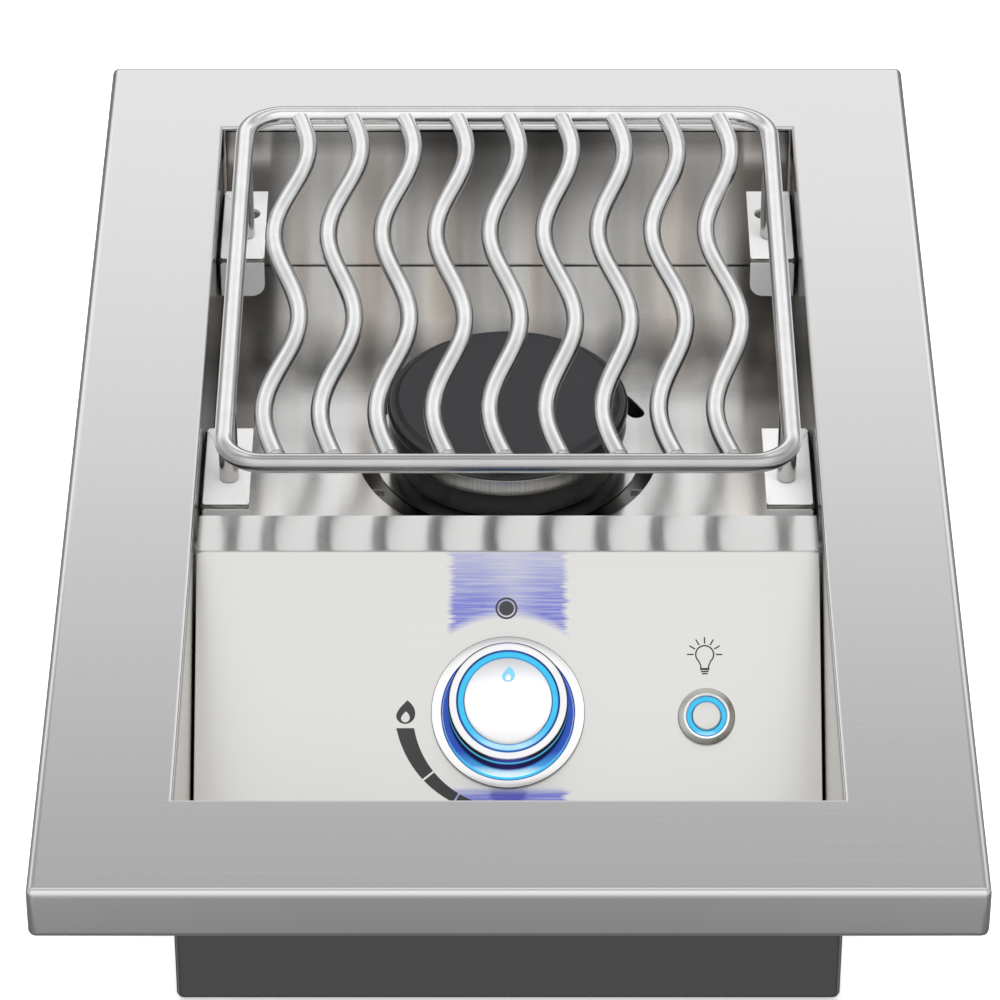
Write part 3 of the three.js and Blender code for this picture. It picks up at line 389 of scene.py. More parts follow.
@dataclass(frozen=True)
class BrushedSteel(Finish):
    """Steel sheet with fine straight brush lines.

    Attributes:
        colour: Base colour.
        roughness: Middle roughness.
        grain: Which way the lines run.
        lines: How strongly they show in the colour.
        stretch: How far highlights stretch across the lines.
        clouds: How strongly wide soft patches show.
        metallic: How metallic it is; the brackets are made non-metallic and near white as a painted
            highlight.
        bands: How strongly soft bands of painted reflection show that follow one another along X.
        warmth: What the bands leave of red, green and blue.
    """

    name: str
    colour: Colour
    roughness: float = 0.28
    grain: Grain = Grain.ALONG_X
    lines: float = 0.05
    stretch: float = 0.6
    clouds: float = 0.03
    metallic: float = 1.0
    bands: float = 0.0
    warmth: Colour = (1.0, 0.955, 0.925)

    def recipe(self, name: str = "") -> Recipe:
        """Builds the node tree, for a finish that adds to it.

        Args:
            name: The other finish's name.

        Returns:
            The recipe.
        """
        recipe = Recipe(name or self.name)
        recipe.metal(self.stretch, self.metallic)
        tangent = recipe.add("CombineXYZ", dict(enumerate(self.grain.value))).outputs[0]
        scale = [2600.0 if part == 0.0 else 5.0 for part in self.grain.value]
        fine, coarse = recipe.noise(scale, 4.0, 0.65), recipe.noise([part * 0.4 for part in scale], 2.0)
        streaks = recipe.plus(recipe.times(fine, 0.8), recipe.times(coarse, 0.2))
        level = recipe.times(recipe.around(streaks, 1.0, self.lines, 0.35, 0.65),
                             recipe.around(recipe.noise((3.0, 7.0, 7.0), 2.0), 1.0, self.clouds))
        colour: Value = self.colour
        if self.bands:
            # Painted reflection: soft bands and warm patches stand for the surroundings mirrored in the
            # steel.
            band = recipe.noise((55.0, 2.5, 2.5), 2.0, 0.4, (3.1, 0.0, 0.0))
            level = recipe.times(level, recipe.around(band, 1.0, self.bands, 0.35, 0.65))
            warm = tuple(part * share for part, share in zip(colour, self.warmth))
            patch = recipe.noise((38.0, 4.0, 4.0), 1.0, shift=(7.7, 0.0, 0.0))
            colour = recipe.blend(recipe.spread(patch, 0.0, 1.0, 0.45, 0.6), colour, warm)
        recipe.tint(colour, level)
        recipe.feed({"Tangent": tangent,
                     "Roughness": recipe.around(streaks, self.roughness, 0.02, 0.35, 0.65)})
        recipe.bump(streaks, 0.03, 0.00001)
        return recipe

    def build(self) -> Material:
        """Gives the finished material."""
        return self.recipe().material


@dataclass(frozen=True)
class PlainMetal(Finish):
    """Cast, drawn or machined metal with small irregular marks.

    Attributes:
        colour: Base colour.
        roughness: Middle roughness.
        marks: How strongly the marks show.
        size: Marks a metre.
        relief: Depth of the surface's relief in metres.
    """

    name: str
    colour: Colour
    roughness: float = 0.3
    marks: float = 0.06
    size: float = 900.0
    relief: float = 0.00003

    def recipe(self, name: str = "") -> Recipe:
        """Builds the node tree, for a finish that adds to it.

        Args:
            name: The other finish's name.

        Returns:
            The recipe.
        """
        recipe = Recipe(name or self.name)
        recipe.metal()
        fine, wide = recipe.noise(self.size, 4.0, 0.6), recipe.noise(self.size * 0.06, 2.0)
        levels = (recipe.around(part, 1.0, self.marks) for part in (fine, wide))
        recipe.tint(self.colour, recipe.times(*levels))
        recipe.feed({"Roughness": recipe.spread(fine, self.roughness - 0.04, self.roughness + 0.06)})
        recipe.bump(fine, 0.15, self.relief)
        return recipe

    def build(self) -> Material:
        """Gives the finished material."""
        return self.recipe().material


@dataclass(frozen=True)
class Coating(Finish):
    """Enamel, moulded plastic, rubber, print or ceramic.

    Attributes:
        colour: Base colour.
        roughness: Middle roughness.
        clearcoat: Weight of a clear top layer.
        mottle: How strongly soft patches show.
        size: Patches a metre.
        relief: Depth of the surface's relief in metres.
    """

    name: str
    colour: Colour
    roughness: float = 0.5
    clearcoat: float = 0.0
    mottle: float = 0.12
    size: float = 120.0
    relief: float = 0.00002

    def build(self) -> Material:
        """Builds the node tree.

        Returns:
            The finished material.
        """
        recipe = Recipe(self.name)
        wide = recipe.noise(self.size)
        recipe.tint(self.colour, recipe.around(wide, 1.0, self.mottle))
        recipe.bump(recipe.noise(self.size * 14.0, 2.0), 0.2, self.relief)
        return recipe.feed({"Coat Weight": self.clearcoat, "Coat Roughness": 0.08,
                            "Roughness": recipe.spread(wide, self.roughness - 0.05, self.roughness + 0.06)})


TRIM_STEEL = BrushedSteel("trim_steel", (0.76, 0.76, 0.76), 0.13, lines=0.012, stretch=0.5, clouds=0.01)
PANEL_STEEL = BrushedSteel("panel_steel", (0.785, 0.78, 0.757), 0.3, lines=0.02, stretch=0.7, clouds=0.02)
DECK_STEEL = BrushedSteel("deck_steel", (0.97, 0.97, 0.96), 0.165, lines=0.025, stretch=0.6, bands=0.14)
WELL_STEEL = BrushedSteel("well_steel", (0.61, 0.6, 0.585), 0.22, lines=0.006, stretch=0.9, bands=0.2)
HEAD_STEEL = BrushedSteel("head_steel", (0.62, 0.62, 0.605), 0.3, Grain.UPRIGHT, 0.22, 0.5)
# Painted highlight: the brackets' steel is near white and non-metallic so that it shows bright.
BRACKET_STEEL = BrushedSteel("bracket_steel", (0.97, 0.97, 0.965), 0.45, lines=0.01, stretch=0.0, clouds=0.01,
                             metallic=0.0)
ROD_STEEL = PlainMetal("rod_steel", (0.9, 0.9, 0.905), 0.2, 0.04, 1500.0, 0.00002)
# Painted shade: the legs are the rods' steel at a darker colour.
LEG_STEEL = PlainMetal("leg_steel_shaded", (0.5, 0.49, 0.48), 0.2, 0.04, 1500.0, 0.00002)
PLAIN_STEEL = PlainMetal("plain_steel", (0.62, 0.62, 0.62), 0.3)
BRASS = PlainMetal("machined_brass", (0.72, 0.57, 0.29), 0.3)
# Painted shade: dark steel for the brackets' bends.
FOLD_STEEL = PlainMetal("fold_shade", (0.2, 0.2, 0.18), 0.2, 0.05, 900.0, 0.000004)
# Painted highlight: the switch's polished bevel is a white coating.
BEVEL_WHITE = Coating("bevel_painted_highlight", (0.95, 0.95, 0.95), 0.3, 0.0, 0.03)
# Painted shade: dark steel for the bezel's outer side, a thin dark outline.
BEZEL_SIDE = PlainMetal("bezel_side_shade", (0.1, 0.1, 0.105), 0.2, 0.01, 900.0, 0.000004)
SWITCH_STEEL = PlainMetal("switch_steel", (0.6, 0.6, 0.56), 0.3, 0.05, 800.0, 0.00001)
KNOB_SILVER = PlainMetal("knob_silver", (0.93, 0.93, 0.95), 0.3, 0.01, 1200.0, 0.000006)
ENAMEL = Coating("black_enamel", (0.025, 0.026, 0.029), 0.42, 0.0, 0.1, 160.0)
ENAMEL_GLOSS = Coating("gloss_enamel", (0.02, 0.02, 0.022), 0.2, 0.5, 0.06)
# Painted shade: the burner body is near black where it lies in shade.
CUP_BLACK = Coating("cup_painted_shade", (0.05, 0.048, 0.046), 0.45, 0.0, 0.25, 90.0, 0.00006)
PRINT = Coating("panel_print", (0.035, 0.035, 0.035), 0.5, 0.0, 0.05)
FLAME_BLUE = Coating("flame_blue", (0.16, 0.5, 0.86), 0.4, 0.0, 0.03)
BLACK_PLASTIC = Coating("black_plastic", (0.03, 0.03, 0.033), 0.55)
SLEEVE = Coating("lead_sleeve", (0.3, 0.025, 0.02), 0.5)
CERAMIC = Coating("white_ceramic", (0.85, 0.84, 0.8), 0.3, 0.4, 0.03)


@dataclass(frozen=True)
class TrimFinish(Finish):
    """The frame's steel, with a painted shade line along the rear fold, and on the apron a painted highlight
    towards the sides and painted shade lower down.

    Attributes:
        fold: Depth of the painted shade line along the rear fold.
        apron: How far down the apron starts.
    """

    fold: float = 1.0
    apron: float = 3.0
    name: str = "trim_steel_frame"

    def build(self) -> Material:
        """Builds the node tree.

        Returns:
            The finished material.
        """
        recipe = TRIM_STEEL.recipe(self.name)
        low, high = node_box("trim_frame")
        across, deep, height = recipe.axes()
        start, line = high.z - self.apron, high.y - self.fold
        apron = recipe.times(recipe.fall(height, start, high.z - 1.5),
                             recipe.fall(deep, low.y + 1.5, low.y + 2.0))
        # Painted highlight: the apron is whitened towards both sides.
        side = recipe.spread(recipe.size(across), 0.0, 0.3, 0.06, 0.17)
        pale = recipe.blend(recipe.times(side, apron), recipe.tone, (1.0, 1.0, 1.0))
        # Painted shade: the apron darkens towards its lower edge.
        down = recipe.fall(height, low.z, start, 0.25)
        lower = recipe.blend(recipe.times(down, apron), pale, (0.4, 0.4, 0.4))
        # Painted shade: a dark line along the rear fold.
        rear = recipe.times(recipe.rise(height, high.z - 2.4, high.z - 2.2, 0.0, 0.95),
                            recipe.rise(deep, line - 0.15, line + 0.15))
        return recipe.feed({"Base Color": recipe.blend(rear, lower, (0.03, 0.03, 0.03))})


@dataclass(frozen=True)
class PanelFinish(Finish):
    """Pale brushed steel with the dial's light painted on above and below the dial, and a painted highlight
    on the ledge.

    Attributes:
        layout: Where the dial is.
        half_width: Half the lit patch's width.
        arch: Radius of the patch's lower edge above the dial.
        glow: The light's colour on the steel.
        heart: The colour of the light below the dial.
    """

    layout: Layout
    half_width: float = 23.5
    arch: float = 40.3
    glow: Colour = (0.22, 0.24, 0.67)
    heart: Colour = (0.09, 0.1, 0.46)
    name: str = "panel_steel_lit"

    def build(self) -> Material:
        """Builds the node tree.

        Returns:
            The finished material.
        """
        recipe = PANEL_STEEL.recipe(self.name)
        across = recipe.axes(-self.layout.dial * MM)[0]
        up = recipe.along(self.layout.dial, self.layout.up)
        ragged = recipe.around(recipe.noise((20.0, 900.0, 900.0), 2.0), 0.0, 1.6 * MM)
        side = recipe.plus(recipe.size(across), ragged)
        width = recipe.fall(side, self.half_width - 1.8, self.half_width + 0.8)
        square = recipe.minus((self.arch * MM) ** 2, recipe.times(across, across))
        arch = recipe.maths("SQRT", recipe.larger(square, 0.0))
        fade = recipe.times(recipe.rise(up, 44.0, 66.0, 1.0, 0.45), recipe.fall(up, 65.4, 67.0))
        above = recipe.times(recipe.rise(recipe.minus(up, arch), -1.8, 2.2), fade,
                             recipe.rise(recipe.size(recipe.minus(across, 2.0 * MM)), 1.0, 12.0, 0.68))
        below = recipe.fall(up, -33.0, -30.0)
        patch = recipe.times(width, recipe.plus(above, below))
        streaks = recipe.spread(recipe.noise((45.0, 1700.0, 1700.0)), 0.6, 1.0, 0.36, 0.56)
        # Painted highlight: beyond the slope's top, on the ledge, the same steel is made paler.
        sheet = recipe.blend(recipe.rise(up, 66.2, 67.2), recipe.tone, (0.97, 0.97, 0.96))
        lit = recipe.blend(recipe.times(patch, streaks), sheet, self.glow)
        heart = recipe.times(recipe.fall(side, 6.0, 8.0, 0.75), below)
        brushed = recipe.shader.inputs["Roughness"].links[0].from_socket
        return recipe.feed({"Roughness": recipe.times(brushed, recipe.rise(up, 66.2, 67.2, 1.0, 0.66)),
                            "Base Color": recipe.blend(heart, lit, self.heart)})


@dataclass(frozen=True)
class DeckFinish(Finish):
    """The deck's steel, with a painted dark reflection of the burner in front of it, painted shade along the
    walls and a dark band of painted reflection across it.

    Attributes:
        layout: Where the burner is.
    """

    layout: Layout
    name: str = "deck_steel_shaded"

    def build(self) -> Material:
        """Builds the node tree.

        Returns:
            The finished material.
        """
        recipe = DECK_STEEL.recipe(self.name)
        radius, ahead = recipe.polar(self.layout.burner, UP, -BACK)
        # Painted reflection: the dark burner mirrored in the deck in front of it.
        soot = recipe.times(recipe.fall(radius, 50.0, 60.0, 0.93), recipe.rise(ahead, 12.0, 38.0))
        # Painted shade along the walls darkens the deck towards both sides.
        dull = recipe.times(recipe.rise(recipe.aside(), 84.0, 112.0, 0.0, 0.5),
                            recipe.fall(ahead, 20.0, 60.0))
        # Painted reflection: a soft-edged dark band across the deck.
        soft = recipe.around(recipe.noise((30.0, 12.0, 12.0), 2.0), 0.0, 0.008)
        deep = recipe.plus(recipe.axes()[1], soft)
        band = recipe.times(recipe.rise(deep, 140.0, 156.0, 0.0, 0.6), recipe.fall(deep, 162.0, 192.0))
        smoked = recipe.blend(band, recipe.tone, (0.03, 0.028, 0.026))
        burnt = recipe.blend(recipe.larger(soot, dull), smoked, (0.012, 0.012, 0.011))
        return recipe.feed({"Base Color": burnt})


@dataclass(frozen=True)
class WellFinish(Finish):
    """The casing's steel: bright inside the well, with painted shade outside, under the trim and along parts
    of its walls.

    Attributes:
        outside: Painted shade colour outside.
    """

    outside: Colour = (0.2, 0.2, 0.2)
    name: str = "casing_steel"

    def build(self) -> Material:
        """Builds the node tree.

        Returns:
            The finished material.
        """
        recipe = WELL_STEEL.recipe(self.name)
        low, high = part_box("casing")
        across, deep, height = recipe.axes()
        inside: Value = 1.0
        for part, first, last in ((across, low.x + 0.0145, high.x - 0.0145),
                                  (deep, low.y + 0.0145, high.y - 0.0145), (height, low.z + 0.0005, high.z)):
            inside = recipe.times(inside, recipe.maths("GREATER_THAN", part, first),
                                  recipe.maths("LESS_THAN", part, last))
        aside = recipe.size(across)
        # Painted shade on the side walls, darker towards the back.
        flank = recipe.times(recipe.rise(aside, 125.5, 126.5, 0.0, 0.6), recipe.rise(deep, -50.0, 20.0))
        # Painted shadow: a black band at the side walls' top, under the trim's edge.
        under = recipe.times(recipe.rise(aside, 125.5, 126.5, 0.0, 0.97),
                             recipe.spread(height, 0.0, 1.0, high.z - 0.017, high.z - 0.013))
        # Painted shade along the back wall's top, under the trim's lip.
        rim = recipe.times(recipe.rise(deep, 200.0, 210.0, 0.0, 0.5),
                           recipe.spread(height, 0.0, 1.0, high.z - 0.014, high.z - 0.006))
        tone: Value = recipe.tone
        for factor, dark in ((flank, (0.05, 0.048, 0.045)), (rim, (0.05, 0.05, 0.048)), (under, BLACK)):
            tone = recipe.blend(factor, tone, dark)
        return recipe.feed({"Base Color": recipe.blend(inside, self.outside, tone)})


@dataclass(frozen=True)
class RingFinish(Finish):
    """The ring's drawn steel, with painted shade along its front rod, darkest on its crown.

    Attributes:
        front: Where the front rod's middle is.
        level: Height of the rods' middle.
        radius: The rods' radius.
    """

    front: float
    level: float
    radius: float
    name: str = "ring_steel"

    def build(self) -> Material:
        """Builds the node tree.

        Returns:
            The finished material.
        """
        recipe = ROD_STEEL.recipe(self.name)
        front, level, radius = self.front, self.level, self.radius
        _, deep, height = recipe.axes()
        # Painted shade along the front rod, strongest on its crown and its underside, left off the rod's top
        # behind its middle.
        ahead = recipe.fall(deep, front - 0.3 * radius, front - 0.05 * radius)
        crown = recipe.times(recipe.rise(height, level + 0.84 * radius, level + radius, 0.0, 0.22), ahead)
        belly = recipe.fall(height, level - 0.1 * radius, level + 0.3 * radius, 0.18)
        behind = recipe.fall(deep, front - 0.05 * radius, front + 0.1 * radius)
        beside = recipe.fall(height, level + 0.9 * radius, level + 0.96 * radius)
        shade = recipe.times(recipe.plus(recipe.plus(crown, belly), 0.36), recipe.larger(behind, beside))
        near = recipe.fall(deep, front + 5.0, front + 14.0)
        return recipe.feed({"Base Color": recipe.blend(recipe.times(near, shade), recipe.tone, BLACK)})


@dataclass(frozen=True)
class HeadFinish(Finish):
    """The turned head ring's steel, with painted shade darkening it towards both sides.

    Attributes:
        near: Where it starts to darken, from the middle.
        far: Where it is darkest.
    """

    near: float = 6.0
    far: float = 40.0
    name: str = "head_steel_shaded"

    def build(self) -> Material:
        """Builds the node tree.

        Returns:
            The finished material.
        """
        recipe = HEAD_STEEL.recipe(self.name)
        # Painted shade towards both sides of the ring.
        share = recipe.rise(recipe.aside(), self.near, self.far, 0.0, 0.85)
        return recipe.feed({"Base Color": recipe.blend(share, recipe.tone, (0.02, 0.02, 0.019))})


@dataclass(frozen=True)
class LitRing(Finish):
    """A translucent ring on the panel with a light behind it, paler towards its lower side.

    Attributes:
        edge: Colour at both edges.
        middle: Colour along the middle.
        low: Colour along the middle on the lower side.
        core: Colour at the lowest place.
        layout: How the panel lies.
        centre: The ring's centre.
        inner: Inner radius.
        outer: Outer radius.
    """

    name: str
    edge: Colour
    middle: Colour
    low: Colour
    core: Colour
    layout: Layout
    centre: Vector
    inner: float
    outer: float

    def build(self) -> Material:
        """Builds the node tree.

        Returns:
            The finished material.
        """
        recipe = Recipe(self.name)
        radius, height = recipe.polar(self.centre, self.layout.out, self.layout.up)
        wave = recipe.maths("SINE", recipe.times(recipe.rise(radius, self.inner, self.outer), math.pi))
        pale = recipe.fall(height, -0.92 * self.outer, -0.55 * self.outer)
        bright = recipe.fall(height, -0.88 * self.outer, -0.76 * self.outer)
        middle = recipe.blend(bright, recipe.blend(pale, self.middle, self.low), self.core)
        share = recipe.times(recipe.spread(wave, 0.0, 1.0, 0.05, 0.6),
                             recipe.spread(recipe.noise(300.0, 2.0), 0.9, 1.0))
        return recipe.feed({"Emission Color": recipe.blend(share, self.edge, middle), "Base Color": BLACK,
                            "Emission Strength": 1.0, "Roughness": 0.25, "Specular IOR Level": 0.2})


@dataclass(frozen=True)
class LitBezel(Finish):
    """Chrome with a painted reflection of the lit ring glowing in its lower inside edge.

    Attributes:
        layout: Where the dial is.
        inner: The bezel's inner radius.
        glow: Colour of the light in the painted reflection.
    """

    layout: Layout
    inner: float = 26.4
    glow: Colour = (0.08, 0.6, 0.95)
    name: str = "bezel_chrome_lit"

    def build(self) -> Material:
        """Builds the node tree.

        Returns:
            The finished material.
        """
        recipe = Recipe(self.name)
        recipe.metal()
        radius, height = recipe.polar(self.layout.dial, self.layout.out, self.layout.up)
        # Painted reflection: the inner edge is black and glows with the lit ring's colours, most brightly low
        # down.
        low = recipe.fall(height, -25.0, -4.0)
        beyond = recipe.minus(radius, recipe.plus(recipe.times(low, 0.95 * MM), (self.inner + 0.45) * MM))
        inside = recipe.fall(beyond, 0.0, 0.15)
        bright = recipe.blend(low, (0.03, 0.1, 0.5), self.glow)
        light = recipe.blend(recipe.rise(beyond, -0.4, -0.15), bright, (0.012, 0.06, 0.3))
        return recipe.feed({"Base Color": recipe.blend(inside, (0.95, 0.95, 0.96), BLACK),
                            "Roughness": recipe.spread(recipe.noise(600.0), 0.19, 0.2),
                            "Emission Color": light, "Emission Strength": inside})


@dataclass(frozen=True)
class KnobSide(Finish):
    """The knob's polished side, painted black as shade, with a thin blue painted reflection of the lit ring
    glowing on it.

    Attributes:
        layout: Where the dial is.
        top: Height of the knob's upper edge.
    """

    layout: Layout
    top: float
    name: str = "knob_side"

    def build(self) -> Material:
        """Builds the node tree.

        Returns:
            The finished material.
        """
        recipe = Recipe(self.name)
        height = recipe.along(self.layout.dial, self.layout.out)
        # Painted reflection: a thin line and faint blue glows stand for the lit ring mirrored in the side.
        start = recipe.rise(height, self.top - 9.8, self.top - 8.8)
        line = recipe.times(start, recipe.fall(height, self.top - 5.6, self.top - 4.6))
        middle = recipe.times(recipe.fall(recipe.aside(), 3.0, 10.0),
                              recipe.spread(recipe.noise(900.0), 0.8, 1.0))
        above = recipe.blend(middle, (0.012, 0.012, 0.014), (0.05, 0.06, 0.3))
        below = recipe.blend(middle, (0.01, 0.012, 0.05), (0.02, 0.014, 0.1))
        light = recipe.blend(line, recipe.blend(start, below, above), (0.07, 0.42, 0.72))
        return recipe.feed({"Base Color": (0.008, 0.01, 0.02), "Specular IOR Level": 0.0, "Roughness": 0.5,
                            "Emission Color": light, "Emission Strength": 1.0})


@dataclass(frozen=True)
class FaceFinish(Finish):
    """The knob's satin face, with painted shade darkening it towards its top.

    Attributes:
        layout: Where the dial is.
    """

    layout: Layout
    name: str = "knob_face_satin"

    def build(self) -> Material:
        """Builds the node tree.

        Returns:
            The finished material.
        """
        recipe = Recipe(self.name)
        # Painted shade: the face darkens towards its top.
        share = recipe.rise(recipe.along(self.layout.dial, self.layout.up), 2.0, 17.0)
        return recipe.feed({"Metallic": 0.3, "Roughness": recipe.spread(recipe.noise(1500.0), 0.3, 0.36),
                            "Base Color": recipe.blend(share, (0.96, 0.96, 0.98), (0.44, 0.445, 0.46))})


# Shapes


def at_angle(centre: Point, radius: float, degrees: float) -> Point:
    """Gives the point at an angle round a centre."""
    angle = math.radians(degrees)
    return (centre[0] + radius * math.cos(angle), centre[1] + radius * math.sin(angle))


def arc(centre: Point, radius: float, start: float, end: float, steps: int) -> list[Point]:
    """Gives points along an arc, from a start to an end in degrees, both included."""
    return [at_angle(centre, radius, start + (end - start) * i / steps) for i in range(steps + 1)]


def circle(centre: Point, radius: float, steps: int) -> list[Point]:
    """Gives a circle's corner points."""
    return arc(centre, radius, 0.0, 360.0, steps)[:-1]


def rectangle(left: float, front: float, right: float, back: float) -> list[Point]:
    """Gives a rectangle's corner points."""
    return [(left, front), (right, front), (right, back), (left, back)]


def turned(points: Sequence[tuple[float, float, float]], chords: int, steps: int) -> Form:
    """Turns a profile with rounded corners about the Z axis.

    Args:
        points: Corners of radius, height and corner radius.
        chords: How many chords a corner has.
        steps: How many facets go round.

    Returns:
        The turned form.
    """
    return spun(rounded_profile(points, chords), steps)


def spun(profile: Sequence[Point], steps: int) -> Form:
    """Turns a profile about the Z axis.

    Args:
        profile: Points of radius and height, from the axis or closed on themselves.
        steps: How many facets go round.

    Returns:
        The turned form.
    """
    bm = bmesh.new()
    verts = [bm.verts.new((radius, 0.0, height)) for radius, height in profile]
    edges = [bm.edges.new(pair) for pair in zip(verts, verts[1:])]
    if profile[0][0] or profile[-1][0]:
        edges.append(bm.edges.new((verts[-1], verts[0])))
    bmesh.ops.spin(bm, geom=verts + edges, cent=ORIGIN, axis=UP, angle=WHOLE_TURN, steps=steps,
                   use_merge=True)
    bmesh.ops.remove_doubles(bm, verts=bm.verts, dist=MERGE)
    bmesh.ops.recalc_face_normals(bm, faces=bm.faces)
    return bm


def rounded_profile(points: Sequence[tuple[float, float, float]], chords: int) -> list[Point]:
    """Rounds the corners of a profile.

    Args:
        points: Corners of radius, height and corner radius.
        chords: How many chords a corner has.

    Returns:
        The profile's points.
    """
    made: list[Point] = []
    for i, (x, y, radius) in enumerate(points):
        here = Vector((x, y))
        if radius <= 0.0:
            made.append((x, y))
            continue
        before, after = ((Vector(points[k % len(points)][:2]) - here).normalized() for k in (i - 1, i + 1))
        half = math.acos(max(-1.0, min(1.0, before.dot(after)))) / 2.0
        reach = radius / math.tan(half)
        centre = here + (before + after).normalized() * radius / math.sin(half)
        first, last = here + before * reach - centre, here + after * reach - centre
        made += [tuple(centre + first.slerp(last, k / chords) * radius) for k in range(chords + 1)]
    return made


def verts_of(geom: Iterable[object]) -> list[Vert]:
    """Picks the points of what an operator made."""
    return [item for item in geom if isinstance(item, Vert)]


def raised(bm: Form, thickness: float) -> Form:
    """Raises a flat form into a plate.

    Args:
        bm: The flat form.
        thickness: The plate's thickness.

    Returns:
        The same form.
    """
    made = bmesh.ops.extrude_face_region(bm, geom=bm.faces[:])["geom"]
    bmesh.ops.translate(bm, verts=verts_of(made), vec=UP * thickness)
    bmesh.ops.recalc_face_normals(bm, faces=bm.faces)
    return bm


def plate(outline: Sequence[Point], thickness: float) -> Form:
    """Makes a plate on z = 0.

    Args:
        outline: Its corner points, counter-clockwise.
        thickness: Its thickness.

    Returns:
        The plate.
    """
    bm = bmesh.new()
    bm.faces.new([bm.verts.new((x, y, 0.0)) for x, y in outline])
    return raised(bm, thickness)


def draw_loop(bm: Form, outline: Sequence[Point], height: float) -> None:
    """Draws a closed line of edges.

    Args:
        bm: The form that it is drawn in.
        outline: Its corner points.
        height: Its height.
    """
    verts = [bm.verts.new((x, y, height)) for x, y in outline]
    for pair in zip(verts, verts[1:] + verts[:1]):
        bm.edges.new(pair)


def filled(loops: Sequence[Sequence[Point]], thickness: float = 0.0, base: float = 0.0) -> Form:
    """Fills the space between closed loops, and raises it if it has a thickness.

    Args:
        loops: The outer loop and the holes.
        thickness: The plate's thickness.
        base: The height of its underside.

    Returns:
        The plate or flat face.
    """
    bm = bmesh.new()
    for outline in loops:
        draw_loop(bm, outline, base)
    bmesh.ops.triangle_fill(bm, use_beauty=True, use_dissolve=False, edges=bm.edges[:])
    if thickness:
        return raised(bm, thickness)
    bmesh.ops.recalc_face_normals(bm, faces=bm.faces)
    return bm


def swept(stations: Sequence[tuple[Vector, Vector]], radius: float, sides: int) -> Form:
    """Draws a round rod along stations.

    Args:
        stations: Centres and directions along the rod.
        radius: The rod's radius.
        sides: How many facets go round.

    Returns:
        The rod, closed at both ends.
    """
    bm = bmesh.new()
    spot, way = stations[0]
    start = Matrix.Translation(spot) @ UP.rotation_difference(way).to_matrix().to_4x4()
    bmesh.ops.create_circle(bm, cap_ends=True, segments=sides, radius=radius, matrix=start)
    edges = [edge for edge in bm.edges if edge.is_boundary]
    for next_spot, next_way in stations[1:]:
        verts, edges = pulled(bm, edges)
        spin = way.rotation_difference(next_way).to_matrix().to_4x4()
        move = Matrix.Translation(next_spot) @ spin @ Matrix.Translation(-spot)
        bmesh.ops.transform(bm, matrix=move, verts=verts)
        spot, way = next_spot, next_way
    bmesh.ops.holes_fill(bm, edges=edges, sides=sides)
    bmesh.ops.recalc_face_normals(bm, faces=bm.faces)
    return bm


def bent(corners: Sequence[Vector], bend: float, steps: int) -> list[tuple[Vector, Vector]]:
    """Gives stations along straight runs with rounded corners.

    Args:
        corners: The corner points.
        bend: The bend radius.
        steps: Stations a bend.

    Returns:
        Centres and directions.
    """
    ways = [(b - a).normalized() for a, b in zip(corners, corners[1:])]
    made = [(corners[0], ways[0])]
    for corner, before, after in zip(corners[1:], ways, ways[1:]):
        angle = before.angle(after)
        start = corner - before * bend * math.tan(angle / 2.0)
        inward = (after - before * math.cos(angle)).normalized()
        for share in (angle * k / steps for k in range(steps + 1)):
            spot = start + before * bend * math.sin(share) + inward * bend * (1.0 - math.cos(share))
            made.append((spot, before * math.cos(share) + inward * math.sin(share)))
    return [*made, (corners[-1], ways[-1])]


def joined(parts: Iterable[Form]) -> Form:
    """Puts several forms into one.

    Args:
        parts: The forms, which are used up.

    Returns:
        One form.
    """
    whole = bmesh.new()
    for part in parts:
        mesh = bpy.data.meshes.new("part")
        part.to_mesh(mesh)
        part.free()
        whole.from_mesh(mesh)
        bpy.data.meshes.remove(mesh)
    return whole


def moved(bm: Form, spot: Vector, turn: Matrix = Matrix()) -> Form:
    """Turns and moves a form, and gives it back."""
    bm.transform(Matrix.Translation(spot) @ turn)
    return bm


# Sheet


def add_quads(bm: Form, quads: Iterable[Sequence[Point]]) -> Form:
    """Adds flat faces on z = 0 and joins them to what they touch.

    Args:
        bm: The form.
        quads: The faces' corner points.

    Returns:
        The same form.
    """
    for corners in quads:
        bm.faces.new([bm.verts.new((x, y, 0.0)) for x, y in corners])
    bmesh.ops.remove_doubles(bm, verts=bm.verts, dist=MERGE)
    return bm


def framed(half: float, length: float, holes: Sequence[Sequence[Point]] = (), border: float = 4.0) -> Form:
    """Makes a flat rectangle with holes, from y = 0 on, with plain faces along its edges.

    Args:
        half: Half its width.
        length: Its length along Y.
        holes: The holes' outlines.
        border: Width of the plain faces.

    Returns:
        The flat face.
    """
    border = min(border, length / 3.0)
    xs, ys = (-half, -half + border, half - border, half), (0.0, border, length - border, length)
    return add_quads(filled([rectangle(xs[1], ys[1], xs[2], ys[2]), *holes]),
                     (rectangle(xs[i], ys[j], xs[i + 1], ys[j + 1])
                      for i in range(3) for j in range(3) if (i, j) != (1, 1)))


def notched(half: float, depth: float, notches: Sequence[tuple[float, float, float]],
            border: float = 4.0) -> Form:
    """Makes a flat flange from y = 0 down, with round-topped notches in its lower edge.

    Args:
        half: Half its width.
        depth: Its depth.
        notches: Places across, heights of the round tops' centres and radii, from left to right.
        border: Width of the plain faces at the top.

    Returns:
        The flat face.
    """
    xs = (-half, -half + 4.0, half - 4.0, half)
    outline = [(x, -border) for x in reversed(xs)] + [(-half, -depth)]
    for across, centre, radius in notches:
        outline += [(across - radius, -depth), *arc((across, centre), radius, 180.0, 0.0, 16),
                    (across + radius, -depth)]
    return add_quads(filled([[*outline, (half, -depth)]]),
                     (rectangle(left, -border, right, 0.0) for left, right in zip(xs, xs[1:])))


